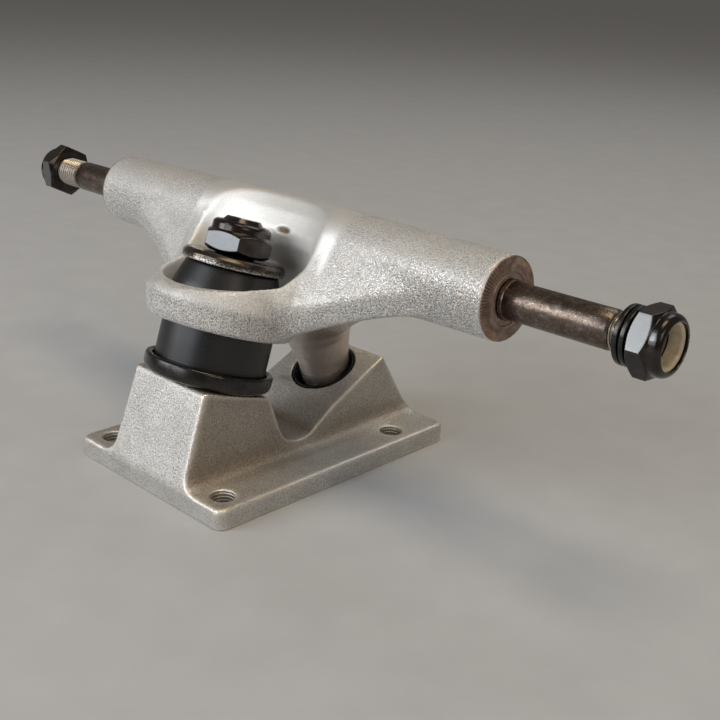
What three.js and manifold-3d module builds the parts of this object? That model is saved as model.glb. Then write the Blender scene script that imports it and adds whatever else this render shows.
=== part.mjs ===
// A skateboard truck standing on its baseplate, in millimetres, +Z up.
// The origin is the centre of the four board-bolt holes, on the underside of the baseplate.
// +X runs along the axle, -Y is the kingpin side and +Y is the pivot side.
import * as THREE from "three";
import { mergeVertices } from "three/addons/utils/BufferGeometryUtils.js";
import Module from "manifold-3d";

const wasm = await Module();
wasm.setup();

// Driving dimensions. A length is a named value in millimetres, a name that ends in
// Degrees is an angle, and one that ends in Share or Shares is a share of another size.

// Running gap between pieces that touch, the length by which a cutter overshoots what it
// cuts, and the distance under which two corners are the same corner.
const gap = 0.3;
const overrun = 5;
const weld = 0.0005;

// Baseplate: the plate and its four holes on the standard board pattern.
const plateWidth = 52.8;
const plateFront = 32.65;
const plateRear = 41.4;
const plateThickness = 4.9;
const plateCorner = 2.2;
const plateEdge = 0.7;
const holeSpacingX = 41.275;
const holeSpacingY = 53.975;
const boltHoleRadius = 2.75;

// Baseplate: the kingpin block and the pivot housing, which share two drafted side walls.
// The front and rear faces stand on the plate's edges, and a valley lies between them.
const wallFootWidth = 27.2;
const wallTopWidth = 25.7;
const wallFillet = 3.5;
const wallCorner = 1.3;
const wallCornerCut = 0.3;
const frontFootRound = 10;
const blockTopFront = 25.5;
const blockTopRear = 7;
const blockEdge = 1.1;
const valleyFloor = 7.3;
const valleyFrontY = -2.3;
const valleyRearY = 5.1;
const valleyRound = 6;
const cupFaceFootY = 13.6;
const cupFaceFootRound = 8;
const housingPeakY = 31.6;
const housingEdge = 0.8;

// Kingpin: it leans back from its seat, the middle of the block's top face.
const kingpinLeanDegrees = 17.1;
const kingpinSeatY = -15.2;
const kingpinSeatZ = 22.7;
const kingpinRadius = 4.76;
const kingpinTipAbove = 1;
const kingpinTipChamfer = 1;
const kingpinHeadFlats = 14.3;
const kingpinHeadHeight = 5;
const blockGrip = 15.1;

// Stack on the kingpin, in heights above its seat.
const bottomWasherRadius = 15;
const bottomWasherHeight = 4.1;
const bottomWasherThickness = 1.4;
const bottomWasherRim = 1.6;
const bottomBushingRadius = 13;
const topBushingFootRadius = 13.2;
const topBushingShoulderRadius = 12.6;
const topBushingShoulder = 2.3;
const topBushingHeadRadius = 10.3;
const topBushingHeight = 8.1;
const bushingEdge = 0.7;
const topWasherRadius = 11.9;
const topWasherThickness = 2;
const topWasherRim = 1;
const topWasherDrop = 0.5;
const kingpinNutFlats = 14.8;
const kingpinNutHexHeight = 5.1;
const kingpinNutHeight = 7.3;
const kingpinNutCollarRadius = 6.8;
const kingpinNutInsertRadius = 5.9;
const kingpinNutInsertHeight = 1.6;
const kingpinNutTurnDegrees = -41;

// Hanger: the ring round the kingpin, with a bushing seat on each side of its web.
const ringBottom = 13.2;
const ringFootRadius = 17;
const ringFootEdge = 0.7;
const ringWaistRadius = 18.3;
const ringWaistHeight = 19.3;
const ringHeadRadius = 15.2;
const ringHeadHeight = 27;
const ringLipZ = 48.1;
const lowerSeatRadius = 13.4;
const upperSeatRadius = 13.6;
const webFloor = 16;
const webThickness = 3;
const webHoleRadius = 7.6;

// Hanger: the bar round the axle, which lies behind the kingpin's line and above its seat.
const axleSetback = 14.9;
const axleHeight = 36.8;
const hangerWidth = 129.9;
const barEndRadius = 9;
const barMiddleRadius = 9.7;
const barEdge = 0.5;
const barFaceGrooveRadius = 5.9;
const barFaceGrooveWidth = 0.5;
const barFaceGrooveDepth = 0.4;

// Hanger: the wings. A crest and a lower edge run from the ring out into the bar, and level
// out on the way, the more the larger their bend.
const wingRootX = 17.5;
const wingTipX = 58;
const wingSink = 0.9;
const crestRootForward = 0.3;
const crestTipForward = 6.4;
const crestForwardBendShare = 1.5;
const crestRootHeight = 21;
const crestTipHeight = 35.7;
const crestBendShare = 1.25;
const crestRound = 3.6;
const lowerRootForward = 2.4;
const lowerTipForward = 9.7;
const lowerForwardBendShare = 1.3;
const lowerRootHeight = 13.3;
const lowerTipHeight = 29.8;
const lowerBendShare = 1.6;
const lowerRound = 1.8;
const touchShare = 0.978;
const rootFlare = 9.5;
const rootFlareX = 22;
const rootFlareReach = 8;
const rootFlareBendShare = 1.7;

// Hanger: the bowl that opens over the kingpin nut. Each row is a section: its height
// between the upper seat and the top of the bowl, then how far it has opened to the sides,
// to the rear and to the front.
const bowlHalfWidth = 22;
const bowlRear = 14.7;
const bowlFront = 24;
const bowlTop = 52;
const bowlCornerShare = 0.86;
const bowlShares = [
  [0, 0, 0.925, 0],
  [0.09, 0.15, 0.925, 0.1],
  [0.15, 0.27, 0.92, 0.16],
  [0.22, 0.4, 0.9, 0.26],
  [0.33, 0.6, 0.85, 0.45],
  [0.4, 0.72, 0.75, 0.62],
  [0.47, 0.83, 0.655, 0.8],
  [0.575, 0.95, 0.645, 1],
  [0.7, 1, 0.735, 1],
  [0.82, 1, 0.87, 1],
  [0.94, 1, 1, 1],
  [1, 1, 1.04, 1],
];

// Hanger: the pivot stem and its ball in the cup. Each row is a section: its place from
// the ball to the axle's line, then how far it has spread in width and in depth.
const ballDepth = 3;
const ballRadius = 6.3;
const stemLeanDegrees = 12;
const stemLeanReach = 14.8;
const stemTopHalfWidth = 38;
const stemTopHalfDepth = 11;
const stemShares = [
  [0.165, 0.006, 0.06],
  [0.28, 0.035, 0.21],
  [0.385, 0.073, 0.4],
  [0.485, 0.164, 0.68],
  [0.585, 0.338, 1],
  [0.645, 0.47, 1.03],
  [0.705, 0.62, 1],
  [0.77, 0.76, 0.92],
  [0.84, 0.875, 0.79],
  [0.97, 1, 0.36],
];

// Pivot cup, whose rim lies in the sloping face of the housing.
const cupRimY = 22.7;
const cupRimZ = 17.2;
const cupLeanDegrees = 25.5;
const cupRadius = 8.2;
const cupMouthRadius = 7.75;
const cupRimEdge = 0.3;

// Axle: a rod with a shoulder at each end, where its thread begins.
const axleRadius = 4;
const axleReach = 98.3;
const axleBoreGap = 0.2;
const rightThreadLength = 8.4;
const leftThreadLength = 12.1;
const shoulderChamfer = 0.4;
const threadRadius = 3.7;
const threadChamfer = 0.6;
const axleCollarRadius = 4.35;
const axleCollarLength = 1;
const axleGrooveRadius = 3.85;
const axleGrooveLength = 0.4;

// Axle nuts, their nylon rings and the two speed washers at the right-hand nut. A nut
// reaches beyond the end of the axle.
const nutOverhang = 3.6;
const nutFlats = 12.7;
const nutHexHeight = 4.7;
const nutHeight = 6.9;
const nutCollarRadius = 6.1;
const nutLipRadius = 4.9;
const nutLipHeight = 0.5;
const nutInsertRadius = 5.1;
const nutInsertHeight = 2.8;
const rightNutTurnDegrees = 50;
const leftNutTurnDegrees = 39;
const washerRadius = 5.9;
const washerThickness = 1.1;
const washerEdge = 0.25;

// Shares that all nuts have in common: the width of the seat to the width across the
// flats, the height of the turned corners to their depth, and the rounding of the collar.
const nutSeatShare = 0.9;
const nutChamferShare = 0.6;
const collarRoundShare = 0.5;

// Counts of faces.
const roundFaces = 40;
const smallFaces = 28;
const barFaces = 48;
const stemFaces = 32;
const cornerFaces = 4;
const ballRings = 5;
const wingSections = 20;

// Colours, as seen in daylight.
const castGrey = { color: 0xa7a39c, roughness: 0.5, metalness: 1 };
const castBright = { color: 0xc9c7c2, roughness: 0.42, metalness: 1 };
const blackUrethane = { color: 0x17181b, roughness: 0.42, metalness: 0 };
const blackOxide = { color: 0x1b1817, roughness: 0.3, metalness: 0.9 };
const brownOxide = { color: 0x4a3c31, roughness: 0.38, metalness: 0.9 };
const axleSteel = { color: 0x4d4239, roughness: 0.38, metalness: 0.95 };
const cupRubber = { color: 0x121212, roughness: 0.6, metalness: 0 };
const ivoryNylon = { color: 0xcdbd9a, roughness: 0.45, metalness: 0 };

const radians = THREE.MathUtils.degToRad;

// Solids: a closed geometry becomes one that can be joined and cut, and back.

function solid(geometry) {
  const bare = new THREE.BufferGeometry();
  const loose = geometry.index ? geometry.toNonIndexed() : geometry;
  bare.setAttribute("position", loose.getAttribute("position"));
  const merged = mergeVertices(bare, weld);
  const corners = merged.index.array;
  const kept = [];
  for (let i = 0; i < corners.length; i += 3) {
    const [a, b, c] = corners.subarray(i, i + 3);
    if (a !== b && b !== c && c !== a) kept.push(a, b, c);
  }
  return new wasm.Manifold(
    new wasm.Mesh({
      numProp: 3,
      vertProperties: merged.attributes.position.array,
      triVerts: new Uint32Array(kept),
    }),
  );
}

function geometryOf(made) {
  const mesh = made.getMesh();
  const geometry = new THREE.BufferGeometry();
  geometry.setAttribute("position", new THREE.BufferAttribute(mesh.vertProperties, 3));
  geometry.setIndex(new THREE.BufferAttribute(mesh.triVerts, 1));
  geometry.computeVertexNormals();
  return geometry;
}

function join(first, ...rest) {
  return rest.reduce((sum, next) => sum.add(next), first);
}

function cut(first, ...rest) {
  return rest.reduce((left, next) => left.subtract(next), first);
}

// Shapes.

// A profile of [radius, height] points turned about Z, listed upwards on its outside.
function revolved(profile, faces) {
  const points = profile.map(([radius, height]) => new THREE.Vector2(radius, height));
  return solid(new THREE.LatheGeometry(points, faces).rotateX(Math.PI / 2));
}

function rod(radius, low, high, faces = smallFaces) {
  return revolved(
    [
      [0, low],
      [radius, low],
      [radius, high],
      [0, high],
    ],
    faces,
  );
}

// An outline of [x, y] points raised from z = low to z = high.
function raised(outline, low, high) {
  const shape = new THREE.Shape(outline.map(([x, y]) => new THREE.Vector2(x, y)));
  const options = { depth: high - low, bevelEnabled: false };
  return new THREE.ExtrudeGeometry(shape, options).translate(0, 0, low);
}

// Rounds the corners of a closed outline. Each corner is [x, y, radius], and a round one
// turns into an arc of the same number of points whatever its radius.
function rounded(corners) {
  const points = [];
  corners.forEach(([x, y, radius], i) => {
    if (!radius) {
      points.push([x, y]);
      return;
    }
    const here = new THREE.Vector2(x, y);
    const [beforeX, beforeY] = corners.at(i - 1);
    const [afterX, afterY] = corners[(i + 1) % corners.length];
    const before = new THREE.Vector2(beforeX, beforeY).sub(here);
    const after = new THREE.Vector2(afterX, afterY).sub(here);
    const shortest = Math.min(before.length(), after.length());
    before.normalize();
    after.normalize();
    const half = Math.acos(THREE.MathUtils.clamp(before.dot(after), -1, 1)) / 2;
    const reach = Math.min(radius / Math.tan(half), shortest / 2);
    const toCentre = before.clone().add(after).normalize();
    const centre = here.clone().addScaledVector(toCentre, reach / Math.cos(half));
    const start = here.clone().addScaledVector(before, reach).sub(centre);
    const end = here.clone().addScaledVector(after, reach).sub(centre);
    const sweep = Math.atan2(start.cross(end), start.dot(end));
    const middle = new THREE.Vector2();
    for (let step = 0; step <= cornerFaces; step++) {
      const spoke = start.clone().rotateAround(middle, (sweep * step) / cornerFaces);
      points.push([centre.x + spoke.x, centre.y + spoke.y]);
    }
  });
  return points;
}

// A skin through rings of points, each running anticlockwise as seen from the last ring,
// with the first and the last ring closed by a fan.
function lofted(rings) {
  const count = rings[0].length;
  const points = rings.flat();
  const triangles = [];
  for (let i = 0; i + 1 < rings.length; i++) {
    for (let j = 0; j < count; j++) {
      const a = i * count + j;
      const b = i * count + ((j + 1) % count);
      triangles.push(a, b, b + count, a, b + count, a + count);
    }
  }
  const middle = (ring) =>
    ring.reduce((sum, p) => sum.add(p), new THREE.Vector3()).divideScalar(count);
  const startMiddle = points.push(middle(rings[0])) - 1;
  const endMiddle = points.push(middle(rings.at(-1))) - 1;
  const last = (rings.length - 1) * count;
  for (let j = 0; j < count; j++) {
    const next = (j + 1) % count;
    triangles.push(startMiddle, next, j, endMiddle, last + j, last + next);
  }
  const geometry = new THREE.BufferGeometry().setFromPoints(points);
  geometry.setIndex(triangles);
  return geometry;
}

// A hexagon across its flats, with its first corner at the given turn.
function hexagon(flats, turnDegrees) {
  const corner = flats / 2 / Math.cos(Math.PI / 6);
  return [0, 1, 2, 3, 4, 5].map((i) => {
    const angle = radians(turnDegrees) + (i * Math.PI) / 3;
    return [corner * Math.cos(angle), corner * Math.sin(angle)];
  });
}

// A hexagonal block whose corners are turned off at both ends, standing on z = 0.
function turnedHexagon(flats, height, turnDegrees) {
  const corner = flats / 2 / Math.cos(Math.PI / 6);
  const seat = (flats / 2) * nutSeatShare;
  const chamfer = (corner - seat) * nutChamferShare;
  const turned = revolved(
    [
      [0, 0],
      [seat, 0],
      [corner, chamfer],
      [corner, height - chamfer],
      [seat, height],
      [0, height],
    ],
    roundFaces,
  );
  return solid(raised(hexagon(flats, turnDegrees), 0, height)).intersect(turned);
}

// The outside of a lock nut: the hexagon with a rounded collar on it, standing on z = 0.
function nutBlank(flats, hexHeight, collarRadius, height, turnDegrees) {
  const round = (height - hexHeight) * collarRoundShare;
  const slope = round * (1 - Math.SQRT1_2);
  const collar = revolved(
    [
      [0, hexHeight / 2],
      [collarRadius, hexHeight / 2],
      [collarRadius, height - round],
      [collarRadius - slope, height - slope],
      [collarRadius - round, height],
      [0, height],
    ],
    roundFaces,
  );
  return join(turnedHexagon(flats, hexHeight, turnDegrees), collar);
}

// Baseplate.

// Half the width between the drafted side walls at a height.
function wallHalfWidth(z) {
  const share = (z - plateThickness) / (kingpinSeatZ - plateThickness);
  return (wallFootWidth + (wallTopWidth - wallFootWidth) * share) / 2;
}

// The block's top face is square to the kingpin and the cup's face square to the cup.
function blockTopZ(y) {
  return kingpinSeatZ - (y - kingpinSeatY) * Math.tan(radians(kingpinLeanDegrees));
}

function cupFaceZ(y) {
  return cupRimZ + (y - cupRimY) * Math.tan(radians(cupLeanDegrees));
}

function plateSolid() {
  const ring = (z, inset) =>
    rounded([
      [inset - plateWidth / 2, inset - plateFront, plateCorner],
      [plateWidth / 2 - inset, inset - plateFront, plateCorner],
      [plateWidth / 2 - inset, plateRear - inset, plateCorner],
      [inset - plateWidth / 2, plateRear - inset, plateCorner],
    ]).map(([x, y]) => new THREE.Vector3(x, y, z));
  const rings = [ring(0, 0)];
  for (let step = 0; step <= cornerFaces; step++) {
    const angle = ((Math.PI / 2) * step) / cornerFaces;
    const drop = plateEdge * (1 - Math.sin(angle));
    rings.push(ring(plateThickness - drop, plateEdge * (1 - Math.cos(angle))));
  }
  return solid(lofted(rings));
}

// Block and housing from above: drafted walls that flare into the plate.
function castingPlan() {
  const frontLean = (plateFront - blockTopFront) / (blockTopZ(-blockTopFront) - plateThickness);
  const rearLean = (plateRear - housingPeakY) / (cupFaceZ(housingPeakY) - plateThickness);
  const ring = (z, flare) => {
    const rise = Math.max(0, z - plateThickness);
    const half = wallHalfWidth(z) + flare;
    const front = rise * frontLean - plateFront - wallCornerCut;
    const rear = plateRear - rise * rearLean + wallCornerCut;
    return rounded([
      [-half, front, wallCorner],
      [half, front, wallCorner],
      [half, rear, wallCorner],
      [-half, rear, wallCorner],
    ]).map(([x, y]) => new THREE.Vector3(x, y, z));
  };
  const rings = [ring(plateThickness / 2, wallFillet)];
  for (let step = 0; step <= cornerFaces; step++) {
    const angle = ((Math.PI / 2) * step) / cornerFaces;
    const rise = wallFillet * (1 - Math.cos(angle));
    rings.push(ring(plateThickness + rise, wallFillet * (1 - Math.sin(angle))));
  }
  rings.push(ring(blockTopZ(-blockTopFront) + overrun, 0));
  return solid(lofted(rings));
}

// Block, valley and housing from the side.
function castingSide() {
  const outline = rounded([
    [-plateFront, plateThickness / 2, 0],
    [plateRear, plateThickness / 2, 0],
    [plateRear, plateThickness, 0],
    [housingPeakY, cupFaceZ(housingPeakY), housingEdge],
    [cupFaceFootY, cupFaceZ(cupFaceFootY), cupFaceFootRound],
    [valleyRearY, valleyFloor, valleyRound],
    [valleyFrontY, valleyFloor, valleyRound],
    [-blockTopRear, blockTopZ(-blockTopRear), blockEdge],
    [-blockTopFront, blockTopZ(-blockTopFront), blockEdge],
    [-plateFront, plateThickness, frontFootRound],
  ]);
  const turn = new THREE.Matrix4().makeBasis(
    new THREE.Vector3(0, 1, 0),
    new THREE.Vector3(0, 0, 1),
    new THREE.Vector3(1, 0, 0),
  );
  return solid(raised(outline, -wallFootWidth, wallFootWidth).applyMatrix4(turn));
}

// The kingpin's frame has its origin on the seat and Z up the kingpin. The cup's has its
// origin in the middle of the rim and Z out of the mouth.
const kingpinFrame = new THREE.Matrix4()
  .makeTranslation(0, kingpinSeatY, kingpinSeatZ)
  .multiply(new THREE.Matrix4().makeRotationX(-radians(kingpinLeanDegrees)));
const cupFrame = new THREE.Matrix4()
  .makeTranslation(0, cupRimY, cupRimZ)
  .multiply(new THREE.Matrix4().makeRotationX(radians(cupLeanDegrees)));
const intoKingpinFrame = kingpinFrame.clone().invert();

function moved(made, matrix) {
  return solid(geometryOf(made).applyMatrix4(matrix));
}

// The round-bottomed outline of cup, pocket or ball, grown by a clearance.
function cupProfile(radius, top) {
  const profile = [];
  for (let step = 0; step <= ballRings; step++) {
    const angle = ((Math.PI / 2) * step) / ballRings;
    const height = -ballDepth - radius * Math.cos(angle);
    profile.push([radius * Math.sin(angle), height]);
  }
  return [...profile, ...top];
}

function baseplate() {
  const pocketRadius = cupRadius + gap;
  const pocket = revolved(
    cupProfile(pocketRadius, [
      [pocketRadius, overrun],
      [0, overrun],
    ]),
    roundFaces,
  );
  const kingpinHole = rod(kingpinRadius + gap, -blockGrip - overrun, overrun);
  const headPocket = solid(
    raised(hexagon(kingpinHeadFlats + gap * 2, 0), -kingpinSeatZ - plateFront, -blockGrip),
  );
  const holes = [-1, 1].flatMap((side) =>
    [-1, 1].map((end) =>
      moved(
        rod(boltHoleRadius, -overrun, plateThickness + overrun, smallFaces),
        new THREE.Matrix4().makeTranslation(
          (side * holeSpacingX) / 2,
          (end * holeSpacingY) / 2,
          0,
        ),
      ),
    ),
  );
  return cut(
    join(plateSolid(), castingPlan().intersect(castingSide())),
    moved(pocket, cupFrame),
    moved(kingpinHole, kingpinFrame),
    moved(headPocket, kingpinFrame),
    ...holes,
  );
}

function pivotCup() {
  const outside = revolved(
    cupProfile(cupRadius, [
      [cupRadius, -cupRimEdge],
      [cupRadius - cupRimEdge, 0],
      [0, 0],
    ]),
    roundFaces,
  );
  const socket = revolved(
    cupProfile(ballRadius + gap, [
      [cupMouthRadius, 0],
      [cupMouthRadius, overrun],
      [0, overrun],
    ]),
    roundFaces,
  );
  return cut(outside, socket);
}

// Kingpin and its stack, in the kingpin's frame.

const bottomWasherSeat = gap;
const bottomBushingSeat = bottomWasherSeat + bottomWasherThickness + gap;
const bottomBushingTop = webFloor - gap;
const upperSeat = webFloor + webThickness;
const topBushingSeat = upperSeat + gap;
const topWasherSeat = topBushingSeat + topBushingHeight + gap;
const kingpinNutSeat = topWasherSeat + topWasherThickness + gap;
const kingpinReach = kingpinNutSeat + kingpinNutHeight + kingpinTipAbove;
const boreRadius = kingpinRadius + gap;

function kingpin() {
  const headTop = -blockGrip - gap;
  const shank = revolved(
    [
      [0, headTop - kingpinHeadHeight / 2],
      [kingpinRadius, headTop - kingpinHeadHeight / 2],
      [kingpinRadius, kingpinReach - kingpinTipChamfer],
      [kingpinRadius - kingpinTipChamfer, kingpinReach],
      [0, kingpinReach],
    ],
    smallFaces,
  );
  const head = turnedHexagon(kingpinHeadFlats, kingpinHeadHeight, 0);
  const seat = new THREE.Matrix4().makeTranslation(0, 0, headTop - kingpinHeadHeight);
  return join(shank, moved(head, seat));
}

// A sheet washer whose rim is turned up round the bushing.
function bottomWasher() {
  const inner = bottomWasherRadius - bottomWasherRim;
  const round = bottomWasherRim / 2;
  const corner = bottomWasherThickness / 2;
  return revolved(
    [
      [boreRadius, 0],
      [bottomWasherRadius - bottomWasherThickness, 0],
      [bottomWasherRadius - corner / 2, corner],
      [bottomWasherRadius, bottomWasherThickness],
      [bottomWasherRadius, bottomWasherHeight - round],
      [bottomWasherRadius - round * (1 - Math.SQRT1_2), bottomWasherHeight - round / 4],
      [bottomWasherRadius - round, bottomWasherHeight],
      [inner + round * (1 - Math.SQRT1_2), bottomWasherHeight - round / 4],
      [inner, bottomWasherHeight - round],
      [inner, bottomWasherThickness],
      [boreRadius, bottomWasherThickness],
      [boreRadius, 0],
    ],
    roundFaces,
  );
}

function bottomBushing() {
  const height = bottomBushingTop - bottomBushingSeat;
  return revolved(
    [
      [boreRadius, 0],
      [bottomBushingRadius - bushingEdge, 0],
      [bottomBushingRadius, bushingEdge],
      [bottomBushingRadius, height - bushingEdge],
      [bottomBushingRadius - bushingEdge, height],
      [boreRadius, height],
      [boreRadius, 0],
    ],
    roundFaces,
  );
}

function topBushing() {
  return revolved(
    [
      [boreRadius, 0],
      [topBushingFootRadius - bushingEdge / 2, 0],
      [topBushingFootRadius, bushingEdge / 2],
      [topBushingShoulderRadius, topBushingShoulder],
      [topBushingHeadRadius + bushingEdge / 2, topBushingHeight - bushingEdge],
      [topBushingHeadRadius - bushingEdge / 2, topBushingHeight],
      [boreRadius, topBushingHeight],
      [boreRadius, 0],
    ],
    roundFaces,
  );
}

// A sheet washer whose rim hangs over the cone bushing's head.
function topWasher() {
  const inner = topWasherRadius - topWasherRim;
  const round = topWasherThickness / 2;
  return revolved(
    [
      [boreRadius, 0],
      [inner, 0],
      [inner, -topWasherDrop],
      [topWasherRadius - topWasherRim / 4, -topWasherDrop],
      [topWasherRadius, topWasherRim / 4 - topWasherDrop],
      [topWasherRadius, topWasherThickness - round],
      [topWasherRadius - round * (1 - Math.SQRT1_2), topWasherThickness - round / 4],
      [topWasherRadius - round, topWasherThickness],
      [boreRadius, topWasherThickness],
      [boreRadius, 0],
    ],
    roundFaces,
  );
}

function kingpinNut() {
  const blank = nutBlank(
    kingpinNutFlats,
    kingpinNutHexHeight,
    kingpinNutCollarRadius,
    kingpinNutHeight,
    kingpinNutTurnDegrees,
  );
  const bore = rod(boreRadius, -overrun, kingpinNutHeight + overrun);
  const seat = kingpinNutHeight - kingpinNutInsertHeight - gap;
  const mouth = rod(kingpinNutInsertRadius + gap / 2, seat, kingpinNutHeight + overrun);
  return cut(blank, bore, mouth);
}

// A ring with its bottom on z = 0.
function ringSolid(outer, inner, height) {
  return revolved(
    [
      [inner, 0],
      [outer, 0],
      [outer, height],
      [inner, height],
      [inner, 0],
    ],
    smallFaces,
  );
}

// Hanger, in the kingpin's frame.

const axlePoint = new THREE.Vector2(axleSetback, axleHeight);
const alongX = new THREE.Matrix4()
  .makeTranslation(0, axleSetback, axleHeight)
  .multiply(new THREE.Matrix4().makeRotationY(Math.PI / 2));

function barRadiusAt(x) {
  const share = Math.abs(x) / (hangerWidth / 2);
  return barMiddleRadius + (barEndRadius - barMiddleRadius) * share;
}

function bar() {
  const end = hangerWidth / 2;
  const shape = revolved(
    [
      [0, -end],
      [barEndRadius - barEdge, -end],
      [barEndRadius, barEdge - end],
      [barMiddleRadius, 0],
      [barEndRadius, end - barEdge],
      [barEndRadius - barEdge, end],
      [0, end],
    ],
    barFaces,
  );
  return moved(shape, alongX);
}

// The ring is turned about the kingpin, and a level plane takes off its top.
function ring() {
  const turned = revolved(
    [
      [0, ringBottom],
      [ringFootRadius - ringFootEdge, ringBottom],
      [ringFootRadius, ringBottom + ringFootEdge],
      [ringWaistRadius, ringWaistHeight],
      [ringHeadRadius, ringHeadHeight],
      [0, ringHeadHeight + overrun],
    ],
    roundFaces,
  );
  const size = hangerWidth;
  const above = new THREE.BoxGeometry(size, size, size).translate(0, 0, ringLipZ + size / 2);
  return cut(turned, solid(above.applyMatrix4(intoKingpinFrame)));
}

// The point where a line from a place outside touches the circle round the axle's line,
// over it for a side of -1 and under it for a side of 1. A place near the circle is taken
// as if it lay a little outside it.
function touchPoint(place, radius, side) {
  const out = place.clone().sub(axlePoint);
  const away = Math.min(radius / out.length(), touchShare);
  return axlePoint
    .clone()
    .add(out.setLength(radius).rotateAround(new THREE.Vector2(), side * Math.acos(away)));
}

// One wing section: crest, lower edge and the two lines from them that touch the bar.
function wingSection(x) {
  const out = Math.max(0, (Math.abs(x) - wingRootX) / (wingTipX - wingRootX));
  const flareShare = THREE.MathUtils.clamp((rootFlareX - Math.abs(x)) / rootFlareReach, 0, 1);
  const flare = rootFlare * flareShare ** rootFlareBendShare;
  const levelled = (root, tip, bend) => tip - (tip - root) * (1 - out) ** bend;
  const crest = new THREE.Vector2(
    levelled(crestRootForward, crestTipForward, crestForwardBendShare) - flare,
    levelled(crestRootHeight, crestTipHeight, crestBendShare),
  );
  const lower = new THREE.Vector2(
    levelled(lowerRootForward, lowerTipForward, lowerForwardBendShare),
    levelled(lowerRootHeight, lowerTipHeight, lowerBendShare),
  );
  const radius = barRadiusAt(x) - wingSink * (x / wingTipX) ** 2;
  const over = touchPoint(crest, radius, -1);
  const under = touchPoint(lower, radius, 1);
  return rounded([
    [...axlePoint, 0],
    [...over, 0],
    [...crest, crestRound],
    [...lower, lowerRound],
    [...under, 0],
  ]).map(([y, z]) => new THREE.Vector3(x, y, z));
}

function wings() {
  const sections = [];
  for (let step = -wingSections; step <= wingSections; step++) {
    sections.push(wingSection((wingTipX * step) / wingSections));
  }
  return solid(lofted(sections));
}

// The stem runs from the ball up to the axle's line and spreads into the wings.
function stem() {
  const ball = new THREE.Vector3(0, 0, -ballDepth).applyMatrix4(cupFrame);
  const axle = new THREE.Vector3(0, axleSetback, axleHeight).applyMatrix4(kingpinFrame);
  const lean = radians(stemLeanDegrees);
  const bend = new THREE.Vector3(
    0,
    ball.y - stemLeanReach * Math.sin(lean),
    ball.z + stemLeanReach * Math.cos(lean),
  );
  const line = new THREE.QuadraticBezierCurve3(ball, bend, axle);
  const section = (centre, along, halfWidth, halfDepth) => {
    const points = [];
    for (let j = 0; j < stemFaces; j++) {
      const angle = (2 * Math.PI * j) / stemFaces;
      const depth = halfDepth * Math.sin(angle);
      points.push(
        new THREE.Vector3(
          halfWidth * Math.cos(angle),
          centre.y + depth * along.z,
          centre.z - depth * along.y,
        ),
      );
    }
    return points;
  };
  const sections = [];
  const start = line.getTangent(0);
  for (let step = 1; step <= ballRings; step++) {
    const angle = ((Math.PI / 2) * step) / ballRings;
    const centre = ball.clone().addScaledVector(start, -ballRadius * Math.cos(angle));
    const radius = ballRadius * Math.sin(angle);
    sections.push(section(centre, start, radius, radius));
  }
  for (const [place, widthShare, depthShare] of stemShares) {
    const halfWidth = ballRadius + (stemTopHalfWidth - ballRadius) * widthShare;
    const halfDepth = ballRadius + (stemTopHalfDepth - ballRadius) * depthShare;
    sections.push(section(line.getPoint(place), line.getTangent(place), halfWidth, halfDepth));
  }
  return solid(lofted(sections).applyMatrix4(intoKingpinFrame));
}

// The bowl's sections are round on the bushing seat and squarer towards the top.
function bowl() {
  const sections = bowlShares.map(([up, side, rear, front]) => {
    const halfWidth = upperSeatRadius + (bowlHalfWidth - upperSeatRadius) * side;
    const forward = upperSeatRadius + (bowlFront - upperSeatRadius) * front;
    const back = bowlRear * rear;
    const bend = 1 - (1 - bowlCornerShare) * side;
    const points = [];
    for (let j = 0; j < roundFaces; j++) {
      const angle = (2 * Math.PI * j) / roundFaces;
      const [across, along] = [Math.cos(angle), Math.sin(angle)];
      points.push(
        new THREE.Vector3(
          halfWidth * Math.sign(across) * Math.abs(across) ** bend,
          (along > 0 ? back : forward) * Math.sign(along) * Math.abs(along) ** bend,
          upperSeat + (bowlTop - upperSeat) * up,
        ),
      );
    }
    return points;
  });
  return solid(lofted(sections));
}

function hanger() {
  const end = hangerWidth / 2;
  const bore = rod(axleRadius + axleBoreGap, -end - overrun, end + overrun);
  const grooves = [-1, 1].map((side) => {
    const low = side > 0 ? end - barFaceGrooveDepth : -end - overrun;
    const high = side > 0 ? end + overrun : barFaceGrooveDepth - end;
    const outer = rod(barFaceGrooveRadius, low, high);
    const inner = rod(barFaceGrooveRadius - barFaceGrooveWidth, low, high);
    return moved(cut(outer, inner), alongX);
  });
  return cut(
    join(bar(), ring(), wings(), stem()),
    bowl(),
    rod(lowerSeatRadius, ringBottom - overrun, webFloor, roundFaces),
    rod(webHoleRadius, ringBottom - overrun, upperSeat + overrun),
    moved(bore, alongX),
    ...grooves,
  );
}

// Axle and what is on it, built along Z and turned outwards.

function axleHalf(threadLength) {
  const shoulder = axleReach - threadLength;
  const groove = hangerWidth / 2;
  const collar = groove + axleGrooveLength;
  return [
    [axleRadius, groove],
    [axleGrooveRadius, groove],
    [axleGrooveRadius, collar],
    [axleCollarRadius, collar],
    [axleCollarRadius, collar + axleCollarLength],
    [axleRadius, collar + axleCollarLength],
    [axleRadius, shoulder - shoulderChamfer],
    [axleRadius - shoulderChamfer, shoulder],
    [threadRadius, shoulder],
    [threadRadius, axleReach - threadChamfer],
    [threadRadius - threadChamfer, axleReach],
    [0, axleReach],
  ];
}

function axle() {
  const left = axleHalf(leftThreadLength).map(([radius, height]) => [radius, -height]);
  return revolved([...left.reverse(), ...axleHalf(rightThreadLength)], smallFaces);
}

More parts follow.
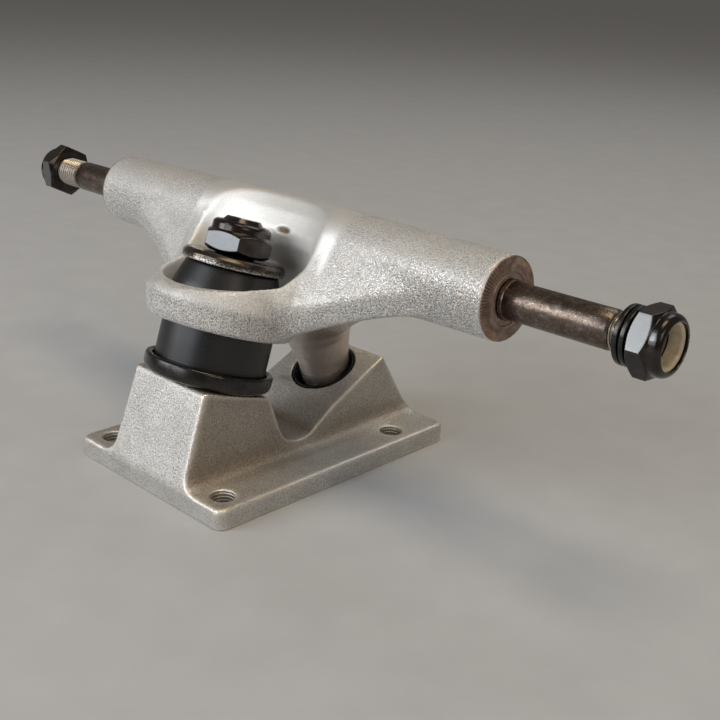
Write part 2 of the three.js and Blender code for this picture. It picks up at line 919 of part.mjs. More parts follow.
function axleNut(turnDegrees) {
  const blank = nutBlank(nutFlats, nutHexHeight, nutCollarRadius, nutHeight, turnDegrees);
  const pocketTop = nutHeight - nutLipHeight;
  const pocketFloor = pocketTop - nutInsertHeight - gap * 2;
  return cut(
    blank,
    rod(threadRadius + gap, -overrun, nutHeight + overrun),
    rod(nutLipRadius, pocketFloor, nutHeight + overrun),
    rod(nutInsertRadius + gap / 2, pocketFloor, pocketTop),
  );
}

function speedWasher() {
  const bore = threadRadius + gap;
  return revolved(
    [
      [bore, 0],
      [washerRadius - washerEdge, 0],
      [washerRadius, washerEdge],
      [washerRadius, washerThickness - washerEdge],
      [washerRadius - washerEdge, washerThickness],
      [bore, washerThickness],
      [bore, 0],
    ],
    smallFaces,
  );
}

// Assembly.

function addPiece(group, name, made, look, height = 0) {
  const mesh = new THREE.Mesh(geometryOf(made), new THREE.MeshStandardMaterial(look));
  mesh.name = name;
  mesh.position.z = height;
  group.add(mesh);
}

const truck = new THREE.Group();
addPiece(truck, "baseplate", baseplate(), castGrey);

const cupGroup = new THREE.Group();
cupGroup.position.set(0, cupRimY, cupRimZ);
cupGroup.rotation.x = radians(cupLeanDegrees);
addPiece(cupGroup, "pivot_cup", pivotCup(), cupRubber);
truck.add(cupGroup);

const kingpinGroup = new THREE.Group();
kingpinGroup.position.set(0, kingpinSeatY, kingpinSeatZ);
kingpinGroup.rotation.x = -radians(kingpinLeanDegrees);
addPiece(kingpinGroup, "kingpin", kingpin(), blackOxide);
addPiece(kingpinGroup, "bottom_washer", bottomWasher(), blackOxide, bottomWasherSeat);
addPiece(kingpinGroup, "bottom_bushing", bottomBushing(), blackUrethane, bottomBushingSeat);
addPiece(kingpinGroup, "hanger", hanger(), castBright);
addPiece(kingpinGroup, "top_bushing", topBushing(), blackUrethane, topBushingSeat);
addPiece(kingpinGroup, "top_washer", topWasher(), brownOxide, topWasherSeat);
addPiece(kingpinGroup, "kingpin_nut", kingpinNut(), blackOxide, kingpinNutSeat);
addPiece(
  kingpinGroup,
  "kingpin_nut_insert",
  ringSolid(kingpinNutInsertRadius, boreRadius, kingpinNutInsertHeight),
  blackUrethane,
  kingpinNutSeat + kingpinNutHeight - kingpinNutInsertHeight,
);
truck.add(kingpinGroup);

const axleLine = new THREE.Group();
axleLine.position.set(0, axleSetback, axleHeight);
kingpinGroup.add(axleLine);
for (const [side, turn, nutTurnDegrees] of [
  ["right", Math.PI / 2, rightNutTurnDegrees],
  ["left", -Math.PI / 2, leftNutTurnDegrees],
]) {
  const end = new THREE.Group();
  end.rotation.y = turn;
  const nutOuterX = axleReach + nutOverhang;
  const nutSeat = nutOuterX - nutHeight;
  const outerSeat = nutSeat - gap - washerThickness;
  const innerSeat = outerSeat - gap - washerThickness;
  if (side === "right") {
    addPiece(end, "axle", axle(), axleSteel);
    addPiece(end, "speed_washer_inner", speedWasher(), blackOxide, innerSeat);
    addPiece(end, "speed_washer_outer", speedWasher(), blackOxide, outerSeat);
  }
  addPiece(end, `axle_nut_${side}`, axleNut(nutTurnDegrees), blackOxide, nutSeat);
  addPiece(
    end,
    `axle_nut_insert_${side}`,
    ringSolid(nutInsertRadius, threadRadius + gap, nutInsertHeight),
    ivoryNylon,
    nutOuterX - nutLipHeight - gap - nutInsertHeight,
  );
  axleLine.add(end);
}

export default truck;
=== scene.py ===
# %% [markdown]
# # A skateboard truck, dressed
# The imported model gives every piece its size, its place and its joint. This file adds what
# the model leaves out: the soft edges of the castings, the threads, rolled rims and turned
# chamfers, and the finish of each metal, rubber and nylon. It stands in a plain pale studio.

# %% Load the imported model
from math import cos, pi, radians, sin, tau

import bpy
import numpy as np
from mathutils import Matrix, Vector


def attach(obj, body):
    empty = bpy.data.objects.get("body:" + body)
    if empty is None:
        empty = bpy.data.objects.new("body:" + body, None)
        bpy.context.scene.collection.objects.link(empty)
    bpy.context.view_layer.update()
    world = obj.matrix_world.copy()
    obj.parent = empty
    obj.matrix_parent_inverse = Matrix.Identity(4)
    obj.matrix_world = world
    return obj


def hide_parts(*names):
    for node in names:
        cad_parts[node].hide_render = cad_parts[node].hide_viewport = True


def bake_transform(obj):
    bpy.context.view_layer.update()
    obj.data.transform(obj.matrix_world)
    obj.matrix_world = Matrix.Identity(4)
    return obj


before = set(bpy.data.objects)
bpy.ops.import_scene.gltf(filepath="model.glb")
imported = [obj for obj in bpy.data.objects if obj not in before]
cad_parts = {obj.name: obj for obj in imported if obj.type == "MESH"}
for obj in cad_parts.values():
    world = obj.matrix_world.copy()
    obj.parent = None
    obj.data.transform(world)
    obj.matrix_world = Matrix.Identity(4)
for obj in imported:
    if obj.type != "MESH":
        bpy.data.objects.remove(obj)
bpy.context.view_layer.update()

MM = 0.001
SCENE = bpy.context.scene
print("pieces in the packed model:", sorted(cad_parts))

# %% [markdown]
# ## Where things sit
# The truck has three lines that nearly every round piece is turned about: the kingpin, which
# leans back from its seat on the block, the axle, and the slanting pivot cup. A piece is
# drawn upright at the origin in millimetres, where numbers are easy to read, and a matrix
# then brings it to metres and to its line.

# %% The three lines
TO_METRES = Matrix.Scale(MM, 4)


def shift(x, y, z):
    return Matrix.Translation((x, y, z))


def turn(degrees, axis):
    return Matrix.Rotation(radians(degrees), 4, axis)


BLOCK_BACK, BLOCK_UP, KINGPIN_LEAN = -15.2, 22.7, 17.1
AXLE_BACK, AXLE_UP = 14.9, 36.8
CUP_BACK, CUP_UP, CUP_LEAN = 22.7, 17.2, 25.5
KINGPIN = shift(0, BLOCK_BACK, BLOCK_UP) @ turn(-KINGPIN_LEAN, "X")
AXLE = {
    "right": KINGPIN @ shift(0, AXLE_BACK, AXLE_UP) @ turn(90, "Y"),
    "left": KINGPIN @ shift(0, AXLE_BACK, AXLE_UP) @ turn(-90, "Y"),
}
CUP = shift(0, CUP_BACK, CUP_UP) @ turn(CUP_LEAN, "X")
PLAIN = Matrix.Identity(4)
print("axle line at", tuple(round(v, 2) for v in AXLE["right"].translation), "mm")

# %% [markdown]
# ## Tools of the lathe
# Bushings, washers, the axle and the collars of the nuts are all turned. As on a lathe, one
# side of the section is drawn, vertex by vertex, and spun round the axis. Sharp corners of
# real parts are never quite sharp, so a Bevel modifier rolls every edge that is sharper than
# a limit, and is applied.


# %% Select, apply and settle
def pick(piece):
    """Makes a piece the only selected one, so that an operator acts on nothing else."""
    bpy.ops.object.select_all(action="DESELECT")
    piece.select_set(True)
    bpy.context.view_layer.objects.active = piece


def apply(piece, kind, **settings):
    """Adds a modifier, sets it and applies it."""
    pick(piece)
    modifier = piece.modifiers.new(kind.title(), kind)
    for key, value in settings.items():
        setattr(modifier, key, value)
    bpy.ops.object.modifier_apply(modifier=modifier.name)


def settle(piece, place):
    """Brings a piece to metres and to its line, with the place kept in its mesh."""
    pick(piece)
    piece.matrix_world = TO_METRES @ place
    bpy.ops.object.transform_apply(location=True, rotation=True, scale=True)
    print(f"{piece.name}: {len(piece.data.polygons)} faces")
    return piece


# %% Turn a section
SPIN_STEPS = 96
SAME_POINT = 0.0005


def turned(name, section, steps=SPIN_STEPS):
    """Spins a line of (radius, height) points round Z."""
    bpy.ops.object.select_all(action="DESELECT")
    bpy.ops.mesh.primitive_plane_add(size=1)
    piece = bpy.context.object
    piece.name = piece.data.name = name
    bpy.ops.object.mode_set(mode="EDIT")
    bpy.ops.mesh.merge(type="CENTER")
    bpy.ops.transform.translate(value=(section[0][0], 0, section[0][1]))
    for (r0, z0), (r1, z1) in zip(section, section[1:]):
        step = {"value": (r1 - r0, 0, z1 - z0)}
        bpy.ops.mesh.extrude_vertices_move(TRANSFORM_OT_translate=step)
    bpy.ops.mesh.select_all(action="SELECT")
    bpy.ops.mesh.spin(steps=steps, angle=tau, center=(0, 0, 0), axis=(0, 0, 1))
    bpy.ops.mesh.select_all(action="SELECT")
    bpy.ops.mesh.remove_doubles(threshold=SAME_POINT)
    bpy.ops.mesh.normals_make_consistent(inside=False)
    bpy.ops.object.mode_set(mode="OBJECT")
    return piece


# %% Roll the edges
SHARP_EDGE = 28


def rolled(piece, width, segments=4):
    """Rolls the edges that are sharper than an angle, then smooths the shading."""
    apply(
        piece,
        "BEVEL",
        width=width,
        segments=segments,
        limit_method="ANGLE",
        angle_limit=radians(SHARP_EDGE),
    )
    smooth(piece)
    return piece


def smooth(piece, angle=40):
    pick(piece)
    bpy.ops.object.shade_smooth_by_angle(angle=radians(angle))


# %% [markdown]
# Some pieces are put together from two or three turned ones. Joining lays them in one mesh,
# and a Boolean makes one closed solid of them.


# %% Join and combine
def join(piece, *others):
    pick(piece)
    for other in others:
        other.select_set(True)
    bpy.ops.object.join()


def combine(piece, other, operation):
    """Joins, cuts or keeps what two solids share."""
    apply(piece, "BOOLEAN", object=other, operation=operation, solver="EXACT")
    bpy.data.objects.remove(other)
    return piece


# %% [markdown]
# No tool of Blender's cuts a thread or wears an edge. Those are worked out from the places of
# all the points of a mesh at once, as an array that is read, changed and written back.


# %% Read and write points
def fetched(rows, name, kind=np.float32, width=3):
    """One value of every vertex or edge, as the rows of an array."""
    values = np.empty(len(rows) * width, dtype=kind)
    rows.foreach_get(name, values)
    return values.reshape(-1, width)


def read_points(piece):
    return fetched(piece.data.vertices, "co").astype(np.float64)


def write_points(piece, points):
    piece.data.vertices.foreach_set("co", points.astype(np.float32).ravel())
    piece.data.update()


# %% [markdown]
# ## Threads
# A thread is a groove that climbs by one pitch in each turn. A closed rod with close rings
# is pushed in and out by a triangle wave whose phase runs on with the angle, which gives a
# true helix and still leaves one closed body.


# %% Cut a thread
PITCH, RINGS_PER_PITCH = 1.06, 10
FLANK, FLAT_CREST = 1.25, 0.15


def thread_rings(low, high):
    """Heights of the rings along a thread."""
    count = round(abs(high - low) / PITCH * RINGS_PER_PITCH)
    return [low + (high - low) * i / count for i in range(count + 1)]


def cut_thread(piece, low, high, crest, depth):
    """Moves the points between two heights onto a helical V groove."""
    points = read_points(piece)
    radius = np.hypot(points[:, 0], points[:, 1])
    inside = (points[:, 2] > low) & (points[:, 2] < high) & (radius > crest - 2 * depth)
    angle = np.arctan2(points[:, 1], points[:, 0])
    wave = np.abs(2 * ((points[:, 2] / PITCH - angle / tau) % 1) - 1)
    ends = np.clip(np.minimum(points[:, 2] - low, high - points[:, 2]) / PITCH * 2, 0, 1)
    groove = depth * np.clip(wave * FLANK - FLAT_CREST, 0, 1) * ends
    scale = np.where(inside, (crest - groove) / np.maximum(radius, SAME_POINT), 1)
    points[:, 0] *= scale
    points[:, 1] *= scale
    write_points(piece, points)


# %% [markdown]
# ## Shaders in a few words
# Each finish is a node tree on one Principled shader. The helpers below add a node, fill its
# sockets and hand back its output, so that a finish reads like a recipe. Patterns read
# Object coordinates, which stay with a piece when its joint turns.


# %% Node helpers
def new_finish(name, **settings):
    finish = bpy.data.materials.new(name)
    finish.use_nodes = True
    shader = finish.node_tree.nodes["Principled BSDF"]
    for key, value in settings.items():
        shader.inputs[key.replace("_", " ")].default_value = value
    return finish


def is_output(value):
    return isinstance(value, bpy.types.NodeSocket)


def node(kind, inputs, output=0, **settings):
    """Adds a node beside those whose outputs it is given, and fills its sockets."""
    inputs = dict(inputs)
    tree = next(value.id_data for value in inputs.values() if is_output(value))
    made = tree.nodes.new(kind)
    for key, value in settings.items():
        setattr(made, key, value)
    for key, value in inputs.items():
        socket = made.inputs[key]
        if is_output(value):
            tree.links.new(value, socket)
        elif socket.type == "RGBA":
            socket.default_value = (*value, 1)
        else:
            socket.default_value = value
    return made.outputs[output]


def plug(finish, **sockets):
    shader = finish.node_tree.nodes["Principled BSDF"]
    for key, value in sockets.items():
        finish.node_tree.links.new(value, shader.inputs[key.replace("_", " ")])
    print(f"{finish.name}: {len(finish.node_tree.nodes)} nodes")


# %% [markdown]
# Noise, scattered points and ramps make every pattern here. Their sizes are in millimetres,
# as they would be measured on the truck.


# %% Patterns
def place_of(finish, stretch=(1, 1, 1)):
    """Object coordinates in millimetres, which can be stretched along an axis."""
    where = finish.node_tree.nodes.new("ShaderNodeTexCoord").outputs["Object"]
    scale = [1 / (MM * s) for s in stretch]
    return node("ShaderNodeMapping", {"Vector": where, "Scale": scale})


def cloud(where, size, detail=3, roughness=0.55, distortion=0):
    """Soft noise whose blots are about size across."""
    look = {"Detail": detail, "Roughness": roughness, "Distortion": distortion}
    return node("ShaderNodeTexNoise", {"Vector": where, "Scale": 1 / size, **look})


def specks(where, size):
    """Distance to the nearest of many scattered points: small in the middle of a speck."""
    return node("ShaderNodeTexVoronoi", {"Vector": where, "Scale": 1 / size})


def steps(value, *stops):
    """A ramp of (position, grey or colour)."""
    ramped = node("ShaderNodeValToRGB", {"Fac": value})
    ramp = ramped.node.color_ramp
    while len(ramp.elements) < len(stops):
        ramp.elements.new(0.5)
    for element, (position, colour) in zip(ramp.elements, stops):
        element.position = position
        rgb = colour if isinstance(colour, tuple) else (colour,) * 3
        element.color = (*rgb, 1)
    return ramped


# %% [markdown]
# The patterns are then blended into a colour, and summed up into roughness and height. What
# the mesh has stored, such as worn edges, says where.

# %% Blends, sums and dents
# The Mix node has sockets for every kind of value. These are the ones for colours.
SHARE_SOCKET, FIRST_SOCKET, SECOND_SOCKET, COLOUR_RESULT = 0, 6, 7, 2


def mixed(share, first, second, blend="MIX"):
    """Blends two colours by a share."""
    inputs = {SHARE_SOCKET: share, FIRST_SOCKET: first, SECOND_SOCKET: second}
    return node("ShaderNodeMix", inputs, COLOUR_RESULT, data_type="RGBA", blend_type=blend)


def times(value, factor):
    values = enumerate((value, factor))
    return node("ShaderNodeMath", values, operation="MULTIPLY")


def plus(value, factor, base):
    """A base with a share of a value added."""
    values = enumerate((value, factor, base))
    return node("ShaderNodeMath", values, operation="MULTIPLY_ADD")


def dents(height, depth, strength=1.0, under=None):
    """Bump of a depth in millimetres."""
    inputs = {"Height": height, "Distance": depth * MM, "Strength": strength}
    if under is not None:
        inputs["Normal"] = under
    return node("ShaderNodeBump", inputs)


def painted(finish, name):
    """A value that was stored on the mesh, point by point."""
    stored = finish.node_tree.nodes.new("ShaderNodeAttribute")
    stored.attribute_name = name
    return stored.outputs["Fac"]


# %% [markdown]
# ## Camera
# The photograph was taken from close by, in front and a little above, which makes the near
# axle nut large. The camera's place, turn and lens were solved from the plate's corners, the
# four bolt holes and the axle line, so the render can be laid over the photograph.


# %% Camera
CAMERA_PLACE = Vector((0.187398, -0.162561, 0.116546))
CAMERA_YAW, CAMERA_PITCH, CAMERA_ROLL = -0.7552767, 0.3539590, 0.0456384
FOCAL_PIXELS, FRAME_PIXELS, SENSOR = 1094.3475, 720, 36.0

level_part = cos(CAMERA_PITCH)
ahead = Vector((sin(CAMERA_YAW) * level_part, cos(CAMERA_YAW) * level_part, -sin(CAMERA_PITCH)))
level = ahead.cross(Vector((0, 0, 1))).normalized()
above = level.cross(ahead)
right = level * cos(CAMERA_ROLL) + above * sin(CAMERA_ROLL)
up = above * cos(CAMERA_ROLL) - level * sin(CAMERA_ROLL)
camera_data = bpy.data.cameras.new("camera")
camera_data.lens = FOCAL_PIXELS / FRAME_PIXELS * SENSOR
camera_data.sensor_width = SENSOR
camera_data.clip_start, camera_data.clip_end = 0.01, 100
camera = bpy.data.objects.new("camera", camera_data)
SCENE.collection.objects.link(camera)
turned_view = Matrix((right, up, -ahead)).transposed().to_4x4()
camera.matrix_world = Matrix.Translation(CAMERA_PLACE) @ turned_view
SCENE.camera = camera
print("lens", round(camera_data.lens, 2), "mm")

# %% [markdown]
# ## Floor
# The floor is one wide plane of pale paper. Its clouds are so faint that they only keep it
# from looking flat.

# %% Floor
bpy.ops.object.select_all(action="DESELECT")
bpy.ops.mesh.primitive_plane_add(size=60)
floor = bpy.context.object
floor.name = "floor"
floor_finish = new_finish("floor_paper", Roughness=0.7, Specular_IOR_Level=0.3)
paper = place_of(floor_finish)
plug(
    floor_finish,
    Base_Color=steps(
        cloud(paper, 14),
        (0.3, (0.47, 0.485, 0.51)),
        (0.7, (0.50, 0.515, 0.54)),
    ),
)
floor.data.materials.append(floor_finish)

# %% [markdown]
# ## Light
# What bare metal shows is what it reflects: its faces that turn to the front left are bright
# and cool, those that turn to the right are dark, and what looks up is tan. So three cool
# panels stand round the front left, a weaker soft box at the front right and another
# behind, a warm lamp hangs overhead, and a dim even light fills the rest. Each soft box is
# placed by its azimuth and elevation round the truck, at one distance.

# %% Soft boxes
TARGET = Vector((0, 0, 0.04))
BOX_DISTANCE, BOX_SIZE = 1.0, 0.42
SOFT_BOXES = {
    "pane_low_left": (236, 20, 3.15, (0.98, 0.99, 1.0)),
    "pane_low_right": (266, 20, 2.25, (0.86, 0.92, 1.0)),
    "pane_high": (246, 42, 1.1, (0.92, 0.96, 1.0)),
    "front_right": (340, 30, 1.3, (1.0, 0.88, 0.74)),
    "behind": (90, 50, 1.05, (0.95, 0.98, 1.0)),
    "overhead": (0, 80, 2.9, (1.0, 0.82, 0.57)),
}
for name, (azimuth, elevation, power, colour) in SOFT_BOXES.items():
    level_part = cos(radians(elevation)) * BOX_DISTANCE
    offset = (
        cos(radians(azimuth)) * level_part,
        sin(radians(azimuth)) * level_part,
        sin(radians(elevation)) * BOX_DISTANCE,
    )
    panel = bpy.data.lights.new(name, "AREA")
    panel.size, panel.energy, panel.color = BOX_SIZE, power, colour
    box = bpy.data.objects.new(name, panel)
    SCENE.collection.objects.link(box)
    box.location = TARGET + Vector(offset)
    box.rotation_euler = (-Vector(offset)).to_track_quat("-Z", "Y").to_euler()

world = bpy.data.worlds.new("studio")
SCENE.world = world
world.use_nodes = True
fill = world.node_tree.nodes["Background"].inputs
fill["Color"].default_value = (1.0, 0.92, 0.82, 1)
fill["Strength"].default_value = 0.165
SCENE.view_settings.view_transform = "Standard"
print("soft boxes:", len(SOFT_BOXES))

# %% [markdown]
# ## Castings
# The baseplate and the hanger are poured in sand or a steel mould, so no edge on them is
# sharp and no face quite flat. Rolling each edge with a bevel would fail where many small
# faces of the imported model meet. Instead a copy of the mesh is rebuilt on a fine grid by a
# voxel remesh, and smoothed, which melts the edges as tumbling in a drum does.


# %% Remelt a piece
def remelt(piece, voxel, rounds):
    """Rebuilds a piece in small even quads and softens it."""
    piece.data.remesh_voxel_size = voxel
    piece.data.use_remesh_fix_poles = False
    pick(piece)
    bpy.ops.object.voxel_remesh()
    bpy.ops.object.mode_set(mode="EDIT")
    bpy.ops.mesh.select_all(action="SELECT")
    bpy.ops.mesh.vertices_smooth(factor=0.5, repeat=rounds)
    bpy.ops.object.mode_set(mode="OBJECT")
    bpy.ops.object.shade_smooth()
    print(f"{piece.name}: {len(piece.data.polygons)} faces")
    return piece


def copy_of(node_name, name):
    """A copy of a CAD piece in millimetres, with the corners of its triangles merged."""
    piece = bpy.data.objects.new(name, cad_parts[node_name].data.copy())
    SCENE.collection.objects.link(piece)
    piece.data.name = name
    piece.data.materials.clear()
    piece.data.transform(TO_METRES.inverted())
    pick(piece)
    bpy.ops.object.mode_set(mode="EDIT")
    bpy.ops.mesh.select_all(action="SELECT")
    bpy.ops.mesh.remove_doubles(threshold=SAME_POINT)
    bpy.ops.object.mode_set(mode="OBJECT")
    return piece


# %% [markdown]
# ## Averages over the mesh
# Softening a shape and smoothing a stored value are the same work: each point takes the mean
# of itself and its neighbours along the edges, a few times over.


# %% Spread and soften
def neighbours(piece):
    return fetched(piece.data.edges, "vertices", np.int32, 2)


def spread(values, pairs, rounds):
    """Averages a value with its neighbours, several times."""
    count = np.maximum(np.bincount(pairs.ravel(), minlength=len(values)), 1)
    for _ in range(rounds):
        total = np.bincount(pairs[:, 0], values[pairs[:, 1]], len(values))
        total += np.bincount(pairs[:, 1], values[pairs[:, 0]], len(values))
        values = (values + total / count) / 2
    return values


def soften(points, pairs, share=1.0):
    """Moves each point towards the mean of its neighbours."""
    softer = np.stack([spread(points[:, i], pairs, 1) for i in range(3)], axis=1)
    return points + (softer - points) * share


def soften_near(piece, near, rounds):
    """Softens a piece again and again, where near is above 0."""
    points, pairs = read_points(piece), neighbours(piece)
    for _ in range(rounds):
        points = soften(points, pairs, near[:, None])
    write_points(piece, points)


# %% [markdown]
# ## Measuring bends
# Edges wear bright, and on the castings they also carry a painted highlight, while hollows are
# painted darker. Both follow how sharply the surface bends, which the mesh itself can tell: the
# mean of a point's neighbours lies below it on an edge and above it in a hollow. The measure is
# smoothed, and stored on the mesh for the shaders.


# %% Edge and hollow
def normals_of(piece):
    return fetched(piece.data.vertex_normals, "vector").astype(np.float64)


def bends(piece, voxel):
    """How sharply the surface bends at each point, in 1/mm: above zero on an edge."""
    points = read_points(piece)
    moved = soften(points, neighbours(piece)) - points
    return -(moved * normals_of(piece)).sum(axis=1) / (voxel / 2) ** 2


def store(piece, name, values):
    layer = piece.data.attributes.new(name, "FLOAT", "POINT")
    layer.data.foreach_set("value", values.astype(np.float32))


HOLLOW_WIDTH = 40


def store_wear(piece, voxel, edge_radius, hollow_radius, width=6):
    """Full edge share on an edge of the first radius, which the finishes paint as wear and on the
    castings also as a highlight, and full hollow share in a hollow of the second, which the
    castings paint darker.
    """
    bend, pairs = bends(piece, voxel), neighbours(piece)
    edge = spread(bend, pairs, width) * edge_radius * 2
    hollow = spread(-bend, pairs, HOLLOW_WIDTH) * hollow_radius * 2
    store(piece, "edge", np.clip(edge, 0, 1))
    store(piece, "hollow", np.clip(hollow, 0, 1))


# %% [markdown]
# Many painted marks lie in a known place: painted shade on the sides and in the valley, and a
# painted shadow with some grime under the washer. Each is a share between 0 and 1 that rises or
# falls over a short width. Places near the kingpin are easiest to give in its own frame, where it
# stands upright.


# %% Shares and frames
def eased(share):
    """Goes from 0 to 1 with a soft start and a soft end."""
    share = np.clip(share, 0, 1)
    return share**2 * (3 - 2 * share)


def rising(values, start, width):
    """0 up to start, and 1 from a width beyond it."""
    return eased((values - start) / width)


def falling(values, end, width):
    """1 up to a width before end, and 0 from there on."""
    return eased((end - values) / width)


def moved_by(points, matrix):
    matrix = np.array(matrix)
    return points @ matrix[:3, :3].T + matrix[:3, 3]


def seen_from(piece, place):
    """Points and normals of a piece, as seen in the frame of a line."""
    back = np.array(place.inverted())
    return moved_by(read_points(piece), back), normals_of(piece) @ back[:3, :3].T


# %% [markdown]
# ## Baseplate
# The base is the duller casting. A brown colour, called film here, is painted on it as shade: on
# the sides of the block, which are painted darker than its front, in the valley behind it, and
# under the washer, where it is a painted shadow with some grime.

# %% Base casting
BASE_VOXEL, BASE_SOFTENING = 0.42, 3
PLATE_TOP, HOUSING_START = 4.5, 6
VALLEY_MIDDLE, VALLEY_REACH, WASHER_REACH = -0.5, 9.5, 18.5
base_casting = remelt(copy_of("baseplate", "base_casting"), BASE_VOXEL, BASE_SOFTENING)
store_wear(base_casting, BASE_VOXEL, edge_radius=1.0, hollow_radius=5, width=3)
points, facing = read_points(base_casting), normals_of(base_casting)
over_plate = rising(points[:, 2], PLATE_TOP, 2)
# painted shade: faces that turn to the sides are painted darker, less so on the housing
shaded_side_paint = rising(np.abs(facing[:, 0]), 0.45, 0.35) * over_plate
shaded_side_paint *= 1 - 0.6 * rising(points[:, 1], HOUSING_START, 6)
# painted shade in the valley behind the block
valley_shade_paint = falling(np.abs(points[:, 1] - VALLEY_MIDDLE), VALLEY_REACH, 3) * over_plate
valley_shade_paint *= rising(np.abs(facing[:, 1]), 0.2, 0.3)
seat, _ = seen_from(base_casting, KINGPIN)
from_pin = np.hypot(seat[:, 0], seat[:, 1])
# under the washer: a painted shadow, with some grime
shadow_and_grime_under_washer = rising(seat[:, 2], -1.2, 0.9) * falling(from_pin, WASHER_REACH, 2)
# all three are stored as the film share, which the finish paints as brown shade
painted_shade_and_grime_share = np.maximum(np.maximum(shaded_side_paint, valley_shade_paint), shadow_and_grime_under_washer)
store(base_casting, "film", painted_shade_and_grime_share)
print("share of the base under film:", round(float(painted_shade_and_grime_share.mean()), 3))

# %% [markdown]
# The four board holes are cut with a coarse thread. A groove that fine is finer than the mesh, so
# the mesh only says where a wall of a hole is, and the finish draws the thread with bumps and with
# dark bands of painted shade.

# %% Walls of the board holes
HOLE_ACROSS, HOLE_ALONG, HOLE_WALL = 20.6375, 26.9875, 3.1
from_hole = np.hypot(np.abs(points[:, 0]) - HOLE_ACROSS, np.abs(points[:, 1]) - HOLE_ALONG)
on_wall = (from_hole < HOLE_WALL) & (np.abs(facing[:, 2]) < 0.6)
store(base_casting, "hole", on_wall.astype(float))
settle(base_casting, PLAIN)

# %% [markdown]
# ## Hanger
# The hanger is remelted in the same way. The rim of its bowl is far rounder than its other
# edges, because hands and tumbling reach it, so the points round the rim are smoothed again.

# %% Hanger casting
HANGER_VOXEL, HANGER_SOFTENING = 0.5, 3
RIM_ROUNDS, RIM_BEND = 17, 0.11
RIM_ACROSS, RIM_BACK, RIM_LOW, RIM_INSIDE = 27, 24, 20.5, 9
hanger_casting = remelt(copy_of("hanger", "hanger_casting"), HANGER_VOXEL, HANGER_SOFTENING)
pairs = neighbours(hanger_casting)
local, _ = seen_from(hanger_casting, KINGPIN)
rim = spread(bends(hanger_casting, HANGER_VOXEL), pairs, 3) > RIM_BEND
rim &= (np.abs(local[:, 0]) < RIM_ACROSS) & (local[:, 1] < RIM_BACK) & (local[:, 2] > RIM_LOW)
rim &= np.hypot(local[:, 0], local[:, 1]) > RIM_INSIDE
near_rim = np.clip(spread(rim.astype(float), pairs, 16) * 3, 0, 1)
soften_near(hanger_casting, near_rim, RIM_ROUNDS)
print("points on the bowl's rim:", int(rim.sum()))

# %% [markdown]
# Where the lip of the ring climbs into each wing, the smoothing leaves a small dip. A soft
# lift along the kingpin's line, the same on both sides, fills it.

# %% Dips of the lip
DIP_PLACE, DIP_REACH, DIP_LIFT = (16.3, -3.4, 23.7), 5.5, 0.8
local, _ = seen_from(hanger_casting, KINGPIN)
one_side = np.column_stack((np.abs(local[:, 0]), local[:, 1], local[:, 2]))
lift = eased(1 - np.linalg.norm(one_side - DIP_PLACE, axis=1) / DIP_REACH) * DIP_LIFT
points = read_points(hanger_casting) + lift[:, None] * np.array(KINGPIN)[:3, 2]
write_points(hanger_casting, points)
print("points in the dips:", int((lift > 0).sum()))

# %% [markdown]
# The bar is a slim cone, and the wings run out into it without a line. Points that lie just
# outside the cone are drawn down onto it, and less so the further out they are, which makes
# the cone truly round and turns the line along each wing into a slow fillet.

# %% Bar and fillets
BAR_MIDDLE, BAR_END = 9.7, 9.0
BAR_START, HALF_WIDTH = 26, 64.95
FILLET, FADE = 0.9, 7.0


def rounded_bar(points):
    """Draws the points near the bar's cone onto it, in the frame of the kingpin."""
    across, over = points[:, 1] - AXLE_BACK, points[:, 2] - AXLE_UP
    radius = np.hypot(across, over)
    cone = BAR_MIDDLE + (BAR_END - BAR_MIDDLE) * np.abs(points[:, 0]) / HALF_WIDTH
    proud = np.maximum(radius - cone, 0)
    further = proud - FILLET / 2 * (1 - eased((proud - FILLET) / FADE))
    lift = np.where(proud < FILLET, proud**2 / (2 * FILLET), further)
    near = (radius > cone - 0.5) & (radius < cone + FILLET + FADE)
    near &= (np.abs(points[:, 0]) > BAR_START) & (np.abs(points[:, 0]) < HALF_WIDTH - 1)
    scale = np.where(near, (cone + lift) / radius, 1)
    moved = points.copy()
    moved[:, 1] = AXLE_BACK + across * scale
    moved[:, 2] = AXLE_UP + over * scale
    return moved


points, _ = seen_from(hanger_casting, KINGPIN)
blend = np.clip((np.abs(points[:, 0]) - BAR_START) / 10, 0, 1)[:, None]
points = points + (rounded_bar(points) - points) * blend
write_points(hanger_casting, moved_by(points, KINGPIN))
print("points on the bar:", int((blend > 0).sum()))

# %% [markdown]
# In front, a shallow valley is left between the bar and the crest of each wing. Where the
# surface is hollow there, it is smoothed many times, which fills it and spares the crest.

# %% Valleys of the wings
VALLEY_ROUNDS = 110
VALLEY_BACK, VALLEY_LOW, VALLEY_START, VALLEY_END = 13, 24, 25, 63
bend = spread(bends(hanger_casting, HANGER_VOXEL), pairs, 6)
reach = np.abs(local[:, 0])
in_front = (local[:, 1] < VALLEY_BACK) & (local[:, 2] > VALLEY_LOW)
in_front &= (reach > VALLEY_START) & (reach < VALLEY_END)
hollow_there = (in_front & (bend < 0.02)).astype(float)
near_valley = np.clip(spread(hollow_there, pairs, 6) * 1.6, 0, 1)
soften_near(hanger_casting, near_valley, VALLEY_ROUNDS)
print("points in the valleys:", int(hollow_there.sum()))

# %% [markdown]
# Tumbling and the mould leave the hanger with two skins. The bowl and what faces up are
# smooth and bright, while the ring's wall and the undersides of the wings keep the grain of
# the mould. The share of grain is worked out from where a point lies and where it faces.

